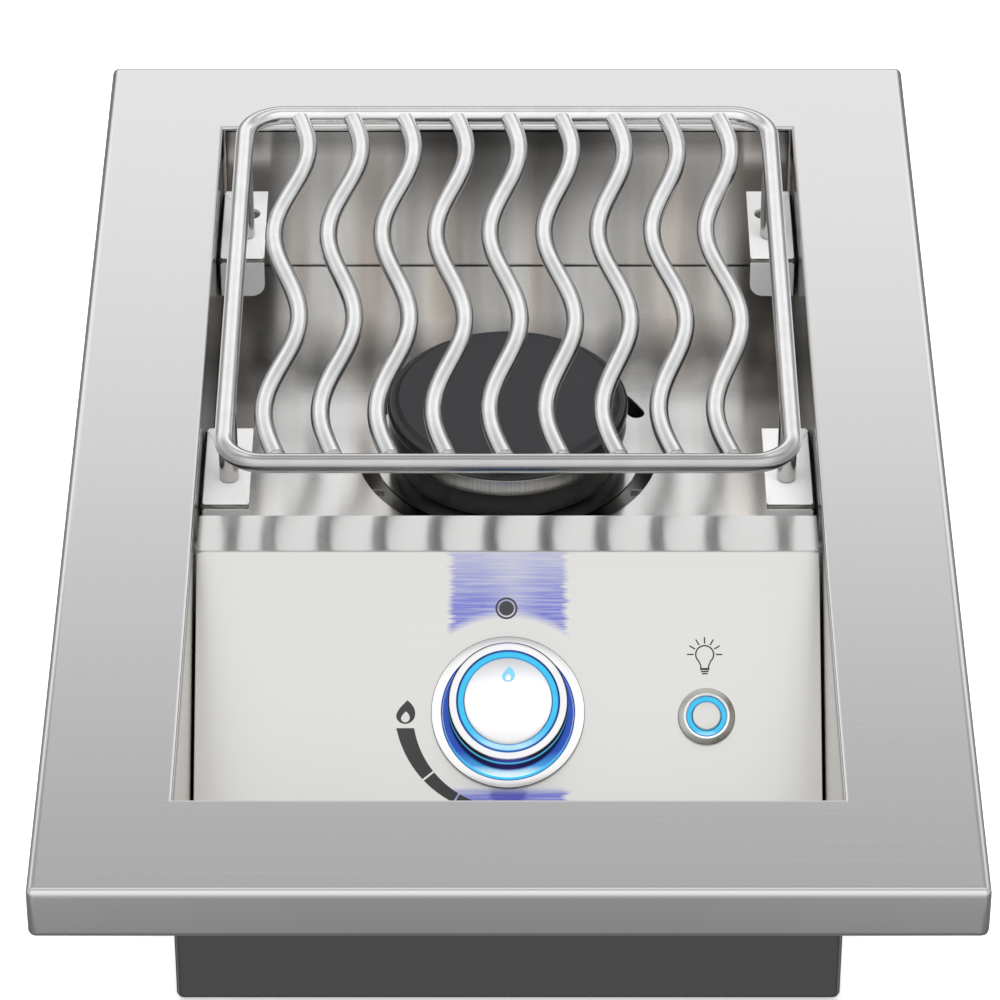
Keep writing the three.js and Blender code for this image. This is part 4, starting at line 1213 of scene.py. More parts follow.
def rim_where(bm: Form, test: Callable[[Vert], bool]) -> list[Edge]:
    """Picks the open edges whose ends pass a test."""
    return [edge for edge in bm.edges if edge.is_boundary and all(test(vert) for vert in edge.verts)]


def pulled(bm: Form, edges: Sequence[Edge], down: float = 0.0) -> tuple[list[Vert], list[Edge]]:
    """Draws a strip of faces out of edges.

    Args:
        bm: The form.
        edges: Its edges.
        down: How far down the strip reaches.

    Returns:
        The strip's new points and open edges.
    """
    made = bmesh.ops.extrude_edge_only(bm, edges=edges)["geom"]
    verts = verts_of(made)
    bmesh.ops.translate(bm, verts=verts, vec=UP * -down)
    return verts, [item for item in made if isinstance(item, Edge) and item.is_boundary]


def face_up(bm: Form) -> Form:
    """Turns a sheet's faces alike, with its largest level face looking up, and gives it back.

    Args:
        bm: The sheet.

    Returns:
        The same sheet.
    """
    bmesh.ops.recalc_face_normals(bm, faces=bm.faces)
    if max(bm.faces, key=lambda face: face.calc_area() * abs(face.normal.z)).normal.z < 0:
        bmesh.ops.reverse_faces(bm, faces=bm.faces)
    return bm


def sheet_of(parts: Iterable[Form]) -> Form:
    """Joins flat faces along their shared edges, with the upper side out.

    Args:
        parts: The faces, which are used up.

    Returns:
        The sheet.
    """
    bm = joined(parts)
    bmesh.ops.remove_doubles(bm, verts=bm.verts, dist=2.0 * TOUCH)
    return face_up(bm)


def folds_of(bm: Form, least: float) -> list[Edge]:
    """Picks the edges where the sheet folds by more than an angle."""
    return [edge for edge in bm.edges if len(edge.link_faces) == 2
            and edge.link_faces[0].normal.angle(edge.link_faces[1].normal) > least]


def rounded(bm: Form, edges: Sequence[Edge], radius: float, segments: int) -> None:
    """Rounds edges.

    Args:
        bm: The form.
        edges: Its edges to round.
        radius: How far the rounding reaches.
        segments: How many facets it has.
    """
    bmesh.ops.bevel(bm, geom=list(edges), offset=radius, offset_type="OFFSET", segments=segments, profile=0.5,
                    affect="EDGES", material=-1, clamp_overlap=True)


def hold_flat(bm: Form, ways: Sequence[Vector] = AXES, edge: float = 0.3) -> None:
    """Gives flat faces a narrow border beside each bend, so that they shade flat.

    Args:
        bm: The form.
        ways: Directions that its flat faces look in.
        edge: The border's width.
    """
    flat = [face for face in bm.faces if any(abs(face.normal.dot(way)) > 0.99999 for way in ways)]
    bmesh.ops.inset_region(bm, faces=flat, thickness=edge, use_even_offset=True, use_boundary=False)


# Pieces


@dataclass
class Workshop:
    """Finishes pieces and puts them on their bodies.

    Attributes:
        finishes: Built materials by name.
    """

    finishes: dict[str, Material] = field(default_factory=dict)

    def finish(self, finish: Finish) -> Material:
        """Builds a finish once.

        Args:
            finish: The finish.

        Returns:
            Its material.
        """
        if finish.name not in self.finishes:
            self.finishes[finish.name] = finish.build()
        return self.finishes[finish.name]

    def piece(self, name: str, bm: Form, finish: Finish, body: str, slot: str, replaces: Sequence[str] = (),
              place: Optional[Matrix] = None, wall: float = 0.0) -> Thing:
        """Turns a form into a finished piece.

        Args:
            name: The piece's name.
            bm: Its form in millimetres, which is used up.
            finish: Its finish.
            body: The body that it moves with.
            slot: The record's material slot; not used.
            replaces: The nodes that it stands for.
            place: Where the form goes, in millimetres.
            wall: Sheet thickness to add inwards, in millimetres.

        Returns:
            The new object.
        """
        if place is not None:
            bm.transform(place)
        bm.transform(Matrix.Scale(MM, 4))
        bm.edges.index_update()
        rim = [edge.index for edge in bm.edges if edge.is_boundary]
        mesh = bpy.data.meshes.new(name)
        bm.to_mesh(mesh)
        bm.free()
        mesh.shade_smooth()
        mesh.set_sharp_from_angle(angle=SHARP)
        for index in rim:
            mesh.edges[index].use_edge_sharp = True
        thing = bpy.data.objects.new(name, mesh)
        bpy.context.scene.collection.objects.link(thing)
        thing.data.materials.append(self.finish(finish))
        if wall:
            solidify = thing.modifiers.new("sheet", "SOLIDIFY")
            solidify.thickness = wall * MM
            solidify.offset = -1.0
            solidify.use_even_offset = True
        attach(thing, body)
        if replaces:
            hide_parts(*replaces)
        LOG.info("%s: %d faces on %s", name, len(mesh.polygons), body)
        return thing

    def repaint(self, thing: Thing, finish: Finish, test: Callable[[MeshPolygon], bool]) -> None:
        """Gives some faces of a piece another finish.

        Args:
            thing: The piece.
            finish: The other finish.
            test: Picks the faces.
        """
        thing.data.materials.append(self.finish(finish))
        for face in thing.data.polygons:
            if test(face):
                face.material_index = 1

    def dress(self, finish: Finish, *nodes: str) -> None:
        """Gives nodes that keep their solids their finish.

        Args:
            finish: The finish.
            *nodes: The nodes' names.
        """
        for node in nodes:
            for slot in frame["nodes"][node].material_slots:
                slot.material = self.finish(finish)
            LOG.info("%s keeps its own solid", node)


@dataclass
class Part:
    """A sub-assembly.

    Attributes:
        shop: Finishes its pieces.
        layout: Where they go.
    """

    shop: Workshop
    layout: Layout


@dataclass
class Innards(Part):
    """What keeps its own solid: the casing and all that is hidden in it."""

    def build(self) -> None:
        """Gives the solids their finishes."""
        self.shop.dress(WellFinish(), "casing")
        self.shop.dress(PLAIN_STEEL, "venturi_tube", "air_shutter", "gas_pipe", "valve_stem",
                        "valve_screw_left", "valve_screw_right", "panel_screw_left", "panel_screw_right",
                        "switch_nut", "electrode_rod", "electrode_clip")
        self.shop.dress(BRASS, "valve_body", "valve_rotor", "orifice", "inlet_fitting", "inlet_nut")
        # The burner body takes painted shade, near black.
        self.shop.dress(CUP_BLACK, "burner_body")
        self.shop.dress(CERAMIC, "electrode_insulator")
        self.shop.dress(BLACK_PLASTIC, "spark_module")
        self.shop.dress(SLEEVE, "igniter_lead", "dial_light_lead", "switch_lead")


@dataclass
class TrimFrame(Part):
    """The folded frame round the well.

    Attributes:
        sheet: Sheet thickness.
        bend: Radius of the outer bends.
        lip: Depth of the turned-in lip.
        rolled: Depth of the opening's rolled edge.
        flange: Width of the casing's flange under the frame.
        overhang: How far the opening's sides stand over the casing's walls.
    """

    sheet: float = 1.2
    bend: float = 3.0
    lip: float = 9.0
    rolled: float = 1.1
    flange: float = 15.0
    overhang: float = 0.8

    def build(self) -> None:
        """Makes the frame from one sheet."""
        low, high = node_box("trim_frame")
        hole_low, hole_high = node_box("casing")
        side = (hole_high.x - hole_low.x) / 2.0 - self.flange - self.overhang
        front, back, top = hole_low.y + self.flange, hole_high.y - self.flange, high.z
        bm = bmesh.new()
        draw_loop(bm, rectangle(low.x, low.y, high.x, high.y), top)
        draw_loop(bm, rectangle(-side, front, side, back), top)
        bmesh.ops.bridge_loops(bm, edges=bm.edges[:])
        foot = pulled(bm, rim_where(bm, lambda v: abs(v.co.x) > side + 1.0), top - low.z)[0]
        for vert in pulled(bm, rim_where(bm, lambda v: v in foot))[0]:
            vert.co.x -= math.copysign(self.lip, vert.co.x)
            vert.co.y -= math.copysign(self.lip, vert.co.y)
        pulled(bm, rim_where(bm, lambda v: v.co.z > top - 0.1), self.rolled + self.sheet)
        face_up(bm)
        outer = [edge for edge in folds_of(bm, 1.0) if not all(
            abs(v.co.x) < side + 1.0 and front - 1.0 < v.co.y < back + 1.0 for v in edge.verts)]
        rounded(bm, outer, self.bend, 6)
        rounded(bm, folds_of(bm, 1.0), self.rolled, 4)
        hold_flat(bm)
        self.shop.piece("trim_sheet", bm, TrimFinish(), "box", "trim_steel", ["trim_frame"], wall=self.sheet)


def line_notches(top: float) -> list[tuple[float, float, float]]:
    """Gives the notches over the gas pipe, the venturi tube and the igniter's lead.

    Args:
        top: Height of the fold above the notches.

    Returns:
        Places across, centres below the fold and radii.
    """
    tube_low, tube_high = node_box("venturi_tube")
    centre = (tube_low.z + tube_high.z) / 2.0 - top
    pipe = node_box("gas_pipe")[0].x + 4.75
    lead = node_box("igniter_lead")[1].x - 1.6
    return [(pipe, centre, 5.95), (0.0, centre, 10.7), (lead, centre, 2.8)]


@dataclass
class ControlPanel(Part):
    """The bent panel with its rounded sides, and what is printed on it.

    Attributes:
        sheet: Sheet thickness.
        bend: Radius of its bends.
        side_gap: Gap to the well's side wall.
        foot: Length of the foot on the casing's floor.
        cheek: Depth of the turned-down sides.
        screw: From the dial's middle to the valve's screws.
    """

    sheet: float = 1.2
    bend: float = 2.6
    side_gap: float = 0.9
    foot: float = 16.0
    cheek: float = 13.0
    screw: float = 16.0

    def build(self) -> None:
        """Makes the panel from one sheet, and its marks."""
        low, top = node_box("control_panel")[0], self.layout.ledge
        front, back = self.layout.ledge_front, self.layout.ledge_back
        half = self.layout.wall - self.side_gap
        foot, ledge = Vector((0.0, low.y + self.foot, low.z + self.sheet)), Vector((0.0, front, top))
        rise = ledge - foot
        slope = Matrix.Rotation(math.atan2(rise.z, rise.y), 4, "X")
        bm = sheet_of([moved(framed(half, self.foot), Vector((0.0, low.y, foot.z))),
                       moved(framed(half, rise.length, self.holes(foot)), foot, slope),
                       moved(framed(half, back - front), ledge),
                       moved(notched(half, top - low.z, line_notches(top)), Vector((0.0, back, top)),
                             UPRIGHT)])
        rim = rim_where(bm, lambda v: abs(abs(v.co.x) - half) < TOUCH and v.co.y > foot.y - 0.1)
        sides = [edge for edge in rim if min(v.co.y for v in edge.verts) < back - 0.1]
        for vert in pulled(bm, sides)[0]:
            vert.co.z = max(vert.co.z - self.cheek, foot.z)
            vert.co.y += 0.5 if vert.co.y < foot.y + 0.1 else 0.0
        bmesh.ops.remove_doubles(bm, verts=bm.verts, dist=2.0 * TOUCH)
        rounded(bm, folds_of(bm, 0.4), self.bend, 6)
        hold_flat(bm, (*AXES, self.layout.out))
        self.shop.piece("panel_sheet", bm, PanelFinish(self.layout), "box", "panel_steel", ["control_panel"],
                        wall=self.sheet)
        self.print_marks()

    def holes(self, foot: Vector) -> list[list[Point]]:
        """Gives the holes for the stem, the valve's screws, the dial's lead and the switch.

        Args:
            foot: The fold at the slope's lower end.

        Returns:
            Their outlines on the slope.
        """
        dial, switch = ((spot - foot).dot(self.layout.up) for spot in (self.layout.dial, self.layout.switch))
        lead = node_box("dial_light_lead")[0].x + 1.6
        return [circle(centre, radius, 40) for centre, radius in (
            ((0.0, dial), 3.9), ((self.screw, dial), 1.9), ((-self.screw, dial), 1.9), ((lead, dial), 1.7),
            ((self.layout.switch.x, switch), 8.1))]

    def print_marks(self) -> None:
        """Prints the off mark, the heat scale, the flame and the bulb."""
        for name, bm, across, upward in (("off_mark", off_mark(), -0.6, 42.8),
                                         ("heat_scale", HeatScale().build(), 0.0, 0.0),
                                         ("flame", flame_mark(9.6), -41.2, 0.4),
                                         ("bulb", BulbMark().build(), 79.1, 23.9)):
            place = self.layout.panel_place(self.layout.on_panel(across, upward) + self.layout.out * 0.01)
            self.shop.piece(f"print_{name}", bm, PRINT, "box", "black_enamel", place=place)


def off_mark() -> Form:
    """Makes the printed dot in its ring."""
    rims = [[(first, 0.0), (last, 0.0), (last, PRINT_HEIGHT), (first, PRINT_HEIGHT)]
            for first, last in ((0.0, 3.0), (3.65, 4.45))]
    return joined(spun(rim, 48) for rim in rims)


@dataclass
class HeatScale:
    """The tapering arc beside the dial, with two gaps.

    Attributes:
        inner: Inner radius.
        wide: Outer radius at the flame.
        narrow: Outer radius at the far end.
        start: First angle in degrees.
        end: Last angle in degrees.
        gaps: Angles of the gaps.
        gap: Half a gap in degrees.
        slant: How far the first end slants, in degrees.
    """

    inner: float = 38.1
    wide: float = 45.2
    narrow: float = 39.6
    start: float = 187.8
    end: float = 288.0
    gaps: tuple[float, ...] = (218.6, 239.1)
    gap: float = 0.55
    slant: float = 1.46

    def build(self) -> Form:
        """Makes the arc's stretches.

        Returns:
            The mark.
        """
        ends = (angle + turn for angle in self.gaps for turn in (-self.gap, self.gap))
        stops = [self.start, *ends, self.end]
        return joined(plate(self.stretch(a, b), PRINT_HEIGHT) for a, b in zip(stops[::2], stops[1::2]))

    def stretch(self, first: float, last: float) -> list[Point]:
        """Gives one stretch's outline.

        Args:
            first: Its first angle in degrees.
            last: Its last angle in degrees.

        Returns:
            Its corner points.
        """
        steps = max(4, int((last - first) / 3.0))
        taper = (self.narrow - self.wide) / (self.end - self.start)
        angles = [first + (last - first) * i / steps for i in range(steps + 1)]
        outer = [at_angle((0.0, 0.0), self.wide + taper * (angle - self.start), angle) for angle in angles]
        level = first + self.slant if first == self.start else first
        return outer + arc((0.0, 0.0), self.inner, last, level, steps)


def drop_outline(size: float, lean: float, base: float, steps: int = 40) -> list[Point]:
    """Draws a drop with a leaning tip.

    Args:
        size: Its height.
        lean: How far its tip leans.
        base: Height of its foot.
        steps: How many chords go round.

    Returns:
        Its corner points, counter-clockwise.
    """
    points = []
    for i in range(steps):
        angle = WHOLE_TURN * i / steps - math.pi / 2.0
        rise = (math.sin(angle) + 1.0) / 2.0
        width = 0.36 * math.cos(angle) * (1.0 - rise ** 1.7) ** 0.5 if rise < 1.0 else 0.0
        points.append((size * (width * 1.25 + lean * rise ** 2 * math.sin(rise * 2.6)), size * rise + base))
    return points


def flame_mark(height: float) -> Form:
    """Makes a printed flame with a hollow middle."""
    return filled([drop_outline(height, 0.16, -height / 2.0),
                   drop_outline(height * 0.46, 0.1, height * (0.07 - 0.5))], PRINT_HEIGHT)


@dataclass
class BulbMark:
    """The line drawing of a bulb with rays.

    Attributes:
        radius: The glass's radius.
        open: Where the glass opens to the neck, in degrees below its middle.
        line: Width of the lines.
        neck: Half width of the neck.
        foot: How far down the neck ends.
        rays: How many rays there are.
        ray_start: Where the rays start.
        ray_end: Where they end.
        bands: The bands' heights from the foot, and their width as a share of the neck's.
    """

    radius: float = 3.6
    open: float = 48.0
    line: float = 0.58
    neck: float = 1.55
    foot: float = -6.1
    rays: int = 7
    ray_start: float = 4.45
    ray_end: float = 7.1
    bands: tuple[Point, ...] = ((0.3, 1.0), (-0.85, 1.0), (-1.75, 0.72))

    def build(self) -> Form:
        """Makes the drawing.

        Returns:
            The mark.
        """
        half = self.line / 2.0
        parts = [filled([self.side(half), self.side(-half)], PRINT_HEIGHT)]
        for i in range(self.rays):
            ray = plate([(self.ray_start, -half), (self.ray_end, -half * 0.9), (self.ray_end, half * 0.9),
                         (self.ray_start, half)], PRINT_HEIGHT)
            parts.append(moved(ray, Vector(), Matrix.Rotation(math.pi * i / (self.rays - 1), 4, "Z")))
        for height, share in self.bands:
            width, level = self.neck * share, self.foot + height
            parts.append(plate(rectangle(-width, level - half, width, level + half), PRINT_HEIGHT))
        return joined(parts)

    def side(self, offset: float) -> list[Point]:
        """Gives the glass's outline, moved out by an offset."""
        neck, foot, bend = self.neck + offset, self.foot - offset, self.foot + 1.4
        return [*arc((0.0, 0.0), self.radius + offset, -self.open, 180.0 + self.open, 40),
                (-neck, bend), (-neck, foot), (neck, foot), (neck, bend)]


@dataclass
class BurnerDeck(Part):
    """The flat sheet round the burner, with its two arc slots.

    Attributes:
        sheet: Sheet thickness.
        bend: Radius of its bends.
        slot_inner: Inner radius of the slots.
        slot_outer: Outer radius of the slots.
        rear_angle: Where the rear slot starts, above the X axis.
        front_angle: Where the front slot starts, below the X axis.
        cup_radius: Radius of the cup's hole.
        gap: Gap to the walls.
        inlet: Radius of the notch over the inlet.
        spark: From the burner's middle back to the spark electrode.
        spark_hole: Radius of the electrode's hole.
        spark_mouth: Half the width of its opening to the slot.
    """

    sheet: float = 1.0
    bend: float = 1.1
    slot_inner: float = 57.8
    slot_outer: float = 65.2
    rear_angle: float = 24.5
    front_angle: float = 12.5
    cup_radius: float = 49.0
    gap: float = 0.3
    inlet: float = 10.5
    spark: float = 55.2
    spark_hole: float = 2.9
    spark_mouth: float = 1.3146

    def build(self) -> None:
        """Makes the deck from one sheet."""
        low, high = node_box("burner_deck")
        deck, half = self.layout.deck, self.layout.wall - self.gap
        centre, length, depth = (0.0, self.layout.burner.y - low.y), high.y - low.y, self.layout.deck - low.z
        holes = [self.rear_slot(centre),
                 self.slot(centre, 180.0 + self.front_angle, 360.0 - self.front_angle),
                 circle(centre, self.cup_radius, 96)]
        inlet = middle_of("inlet_fitting")
        bm = sheet_of([moved(form, Vector((0.0, y, deck)), turn) for form, y, turn in (
            (framed(half, length, holes), low.y, Matrix()),
            (notched(half, depth, line_notches(deck), 2.5), low.y, UPRIGHT),
            (notched(half, depth, [(inlet.x, inlet.z - deck, self.inlet)], 2.0), high.y, UPRIGHT))])
        rounded(bm, folds_of(bm, 1.0), self.bend, 5)
        hold_flat(bm)
        self.shop.piece("deck_sheet", bm, DeckFinish(self.layout), "box", "deck_steel", ["burner_deck"],
                        wall=self.sheet)

    def rear_slot(self, centre: Point) -> list[Point]:
        """Gives the rear slot's outline, with the notch for the spark electrode in its inner edge.

        Args:
            centre: The burner's centre.

        Returns:
            Its corner points.
        """
        spark = (centre[0], centre[1] + self.spark)
        away = [p for p in self.slot(centre, self.rear_angle, 180.0 - self.rear_angle)
                if math.dist(p, spark) > self.spark_hole + 0.05]
        last = max((i for i, p in enumerate(away) if math.dist(p, centre) < self.slot_inner + 0.5
                    and p[0] < centre[0]), key=lambda i: away[i][0])
        side = math.degrees(math.asin(self.spark_mouth / self.spark_hole))
        return away[:last + 1] + arc(spark, self.spark_hole, 90.0 + side, 450.0 - side, 20) + away[last + 1:]

    def slot(self, centre: Point, first: float, last: float) -> list[Point]:
        """Gives a slot's outline.

        Args:
            centre: The burner's centre.
            first: Its first angle in degrees.
            last: Its last angle in degrees.

        Returns:
            Its corner points.
        """
        half, middle = (self.slot_outer - self.slot_inner) / 2.0, (self.slot_outer + self.slot_inner) / 2.0
        ears = [arc(at_angle(centre, middle, angle), half, start, start + 180.0, 10)[1:-1]
                for angle, start in ((last, last), (first, first + 180.0))]
        return (arc(centre, self.slot_outer, first, last, 60) + ears[0]
                + arc(centre, self.slot_inner, last, first, 60) + ears[1])


@dataclass
class GrateBracket(Part):
    """One bent plate that carries a foot of the grate.

    Attributes:
        corner: Which bracket it is.
        sheet: Sheet thickness.
        bend: Radius of its bends.
        flange: Depth of its flanges.
        nook: Radius of the flange's lower corner.
        hole: Radius of its hole.
        hole_step: From the foot back to the hole.
        hole_inset: From the foot in to the hole.
    """

    corner: Corner
    sheet: float = 1.5
    bend: float = 2.0
    flange: float = 19.0
    nook: float = 6.0
    hole: float = 4.2
    hole_step: float = 16.8
    hole_inset: float = 1.7

    def build(self) -> None:
        """Makes the bracket."""
        node = f"grate_bracket_{self.corner.value}"
        low, high = node_box(node)
        foot = middle_of(f"grate_leg_{self.corner.value}")
        inner, outer = (low.x, high.x) if low.x > 0.0 else (high.x, low.x)
        middle = (foot.x - math.copysign(self.hole_inset, low.x), foot.y + self.hole_step)
        bm = filled([rectangle(inner, low.y, outer, high.y), circle(middle, self.hole, 32)], 0.0, high.z)
        face_up(bm)
        for axis, level in ((1, low.y), (0, outer)):
            edges = rim_where(bm, lambda v: abs(v.co[axis] - level) < TOUCH and abs(v.co.z - high.z) < TOUCH)
            pulled(bm, edges, self.flange)
        bmesh.ops.remove_doubles(bm, verts=bm.verts, dist=MERGE)
        nook = [v for v in bm.verts if abs(v.co.x - inner) < TOUCH and abs(v.co.y - low.y) < TOUCH
                and v.co.z < high.z - 1.0]
        bmesh.ops.bevel(bm, geom=nook, offset=self.nook, offset_type="OFFSET", segments=8, profile=0.5,
                        affect="VERTICES", material=-1)
        rounded(bm, folds_of(bm, 1.0), self.bend, 5)
        hold_flat(bm)
        thing = self.shop.piece(f"bracket_{self.corner.value}", bm, BRACKET_STEEL, "box", "bracket_steel",
                                [node], wall=self.sheet)
        # Painted shade on the bracket's bends, which take the dark steel.
        self.shop.repaint(thing, FOLD_STEEL, lambda face: max(abs(part) for part in face.normal) < 0.985)


@dataclass
class Grate(Part):
    """The lift-off grate: a bent ring, nine wave rods and four legs.

    Attributes:
        ring: The ring rod's radius.
        ring_bend: Radius of the ring's corners.
        wave: The wave rods' radius.
        count: How many wave rods there are.
        length: One wave's length.
        swing: How far a wave swings each way.
        crest: From the back bar's middle to the last crest.
        steps: Stations a wave rod.
        leg: The legs' radius.
    """

    ring: float = 4.0
    ring_bend: float = 17.0
    wave: float = 3.9
    count: int = 9
    length: float = 128.7
    swing: float = 6.3
    crest: float = 28.1
    steps: int = 90
    leg: float = 4.0

    def build(self) -> None:
        """Makes every rod of the grate."""
        low, high = node_box("grate_ring")
        level = (low.z + high.z) / 2.0
        left, right = low.x + self.ring, high.x - self.ring
        front, back = low.y + self.ring, high.y - self.ring
        corners = [Vector((x, y, level)) for x, y in (
            (0.0, front), (right, front), (right, back), (left, back), (left, front), (0.0, front))]
        parts = [swept(bent(corners, self.ring_bend, 14), self.ring, 28)]
        for i in range(self.count):
            node = f"wave_bar_{i + 1}"
            stations = self.stations(node, back - self.crest, level)
            self.piece(f"wave_rod_{i + 1}", swept(stations, self.wave, 24), ROD_STEEL, node)
            parts += [self.weld(stations[0][0], 1.0, i), self.weld(stations[-1][0], -1.0, i + 3)]
        self.piece("ring_rod", joined(parts), RingFinish(front, level, self.ring), "grate_ring")
        top = level - self.ring * 0.4
        for corner in Corner:
            node = f"grate_leg_{corner.value}"
            foot, spot = node_box(node)[0].z, middle_of(node)
            leg = turned([(0.0, foot, 0.0), (self.leg, foot, 0.7), (self.leg, top, 0.0), (0.0, top, 0.0)],
                         5, 32)
            # The legs take the darker steel, as painted shade.
            self.piece(f"leg_{corner.value}", moved(leg, Vector((spot.x, spot.y, 0.0))), LEG_STEEL, node)

    def piece(self, name: str, bm: Form, finish: Finish, node: str) -> None:
        """Puts a rod on the grate, in its node's stead."""
        self.shop.piece(name, bm, finish, "grate", "rod_steel", [node])

    def stations(self, node: str, crest: float, level: float) -> list[tuple[Vector, Vector]]:
        """Gives a wave rod's stations.

        Args:
            node: The rod's node.
            crest: Where the last crest is, along Y.
            level: Height of the rod's middle.

        Returns:
            Centres and directions.
        """
        low, high = node_box(node)
        middle, start, end = (low.x + high.x) / 2.0, low.y - 0.2, high.y + 0.2
        made = []
        for y in (start + (end - start) * k / self.steps for k in range(self.steps + 1)):
            phase = WHOLE_TURN * (y - crest) / self.length
            lean = -self.swing * WHOLE_TURN * math.sin(phase) / self.length
            made.append((Vector((middle + self.swing * math.cos(phase), y, level)),
                         Vector((lean, 1.0, 0.0)).normalized()))
        return made

    def weld(self, spot: Vector, way: float, turn: int) -> Form:
        """Makes one small weld bead between a wave rod and the ring.

        Args:
            spot: The rod's end.
            way: Which way the rod leads away from the ring, along Y.
            turn: Turns the bead a little, so that no two look alike.

        Returns:
            The bead.
        """
        bm = bmesh.new()
        bmesh.ops.create_uvsphere(bm, u_segments=16, v_segments=8, radius=1.0)
        bmesh.ops.scale(bm, vec=(self.wave * (1.0 + 0.05 * math.sin(turn * 2.1)), 1.5, self.wave * 0.92),
                        verts=bm.verts)
        for vert in bm.verts:
            vert.co *= 1.0 + 0.06 * math.sin(vert.co.x * 2.3 + turn) * math.cos(vert.co.z * 2.0 + turn)
        return moved(bm, spot - BACK * way * 0.1)


@dataclass
class Burner(Part):
    """The capped round burner.

    Attributes:
        cap: The cap's radius.
        cap_rim: Height of the cap's rim.
        crown: Height of the cap's dome.
        roof: Thickness of the cap's top.
        skirt: Outer and inner radius of the cap's skirt.
        polish: Width of the glossy edge.
        head: Radius of the head ring.
        bore: Radius of the head's bore.
        spigot: Outer and inner radius of the head's foot.
        seat: Height of the head's foot.
    """

    cap: float = 51.6
    cap_rim: float = 7.0
    crown: float = 0.8
    roof: float = 4.0
    skirt: Point = (43.5, 41.5)
    polish: float = 1.6
    head: float = 51.0
    bore: float = 46.0
    spigot: Point = (45.0, 43.0)
    seat: float = 5.0

    def build(self) -> None:
        """Makes the cap and the head ring."""
        cap_low, cap_high = node_box("burner_cap")
        head_low, head_high = node_box("burner_head")
        middle = self.layout.burner.y
        place = Matrix.Translation((0.0, middle, 0.0))
        top, lip = cap_high.z - self.crown, cap_low.z
        under, roof, (outer, inner) = top - self.cap_rim, top - self.roof, self.skirt
        crown = [(self.cap * s, top + self.crown * (1.0 - s * s)) for s in (0.0, 0.25, 0.5, 0.75, 0.9)]
        rim = rounded_profile([(self.cap, top, 2.4), (self.cap, under, 1.2), (outer, under, 0.5),
                               (outer, lip, 0.5), (inner, lip, 0.5), (inner, roof, 0.8)], 6)
        thing = self.shop.piece("cap", spun([*crown, *rim, (0.0, roof)], 128), ENAMEL, "cap", "black_enamel",
                                ["burner_cap"], place)
        self.shop.repaint(thing, ENAMEL_GLOSS, lambda face: math.hypot(
            face.center.x, face.center.y - middle * MM) > (self.cap - self.polish) * MM)
        (outer, inner), base, foot, top = self.spigot, head_low.z + self.seat, head_low.z, head_high.z
        ring = turned([(self.bore, top, 0.5), (self.head, top, 0.6), (self.head, base, 0.6),
                       (outer, base, 0.3), (outer, foot, 0.4), (inner, foot, 0.4),
                       (inner, base + self.seat / 2.0, 0.5), (self.bore, base + self.seat, 0.5)], 4, 144)
        self.shop.piece("head_ring", ring, HeadFinish(), "box", "burner_alloy", ["burner_head"], place)


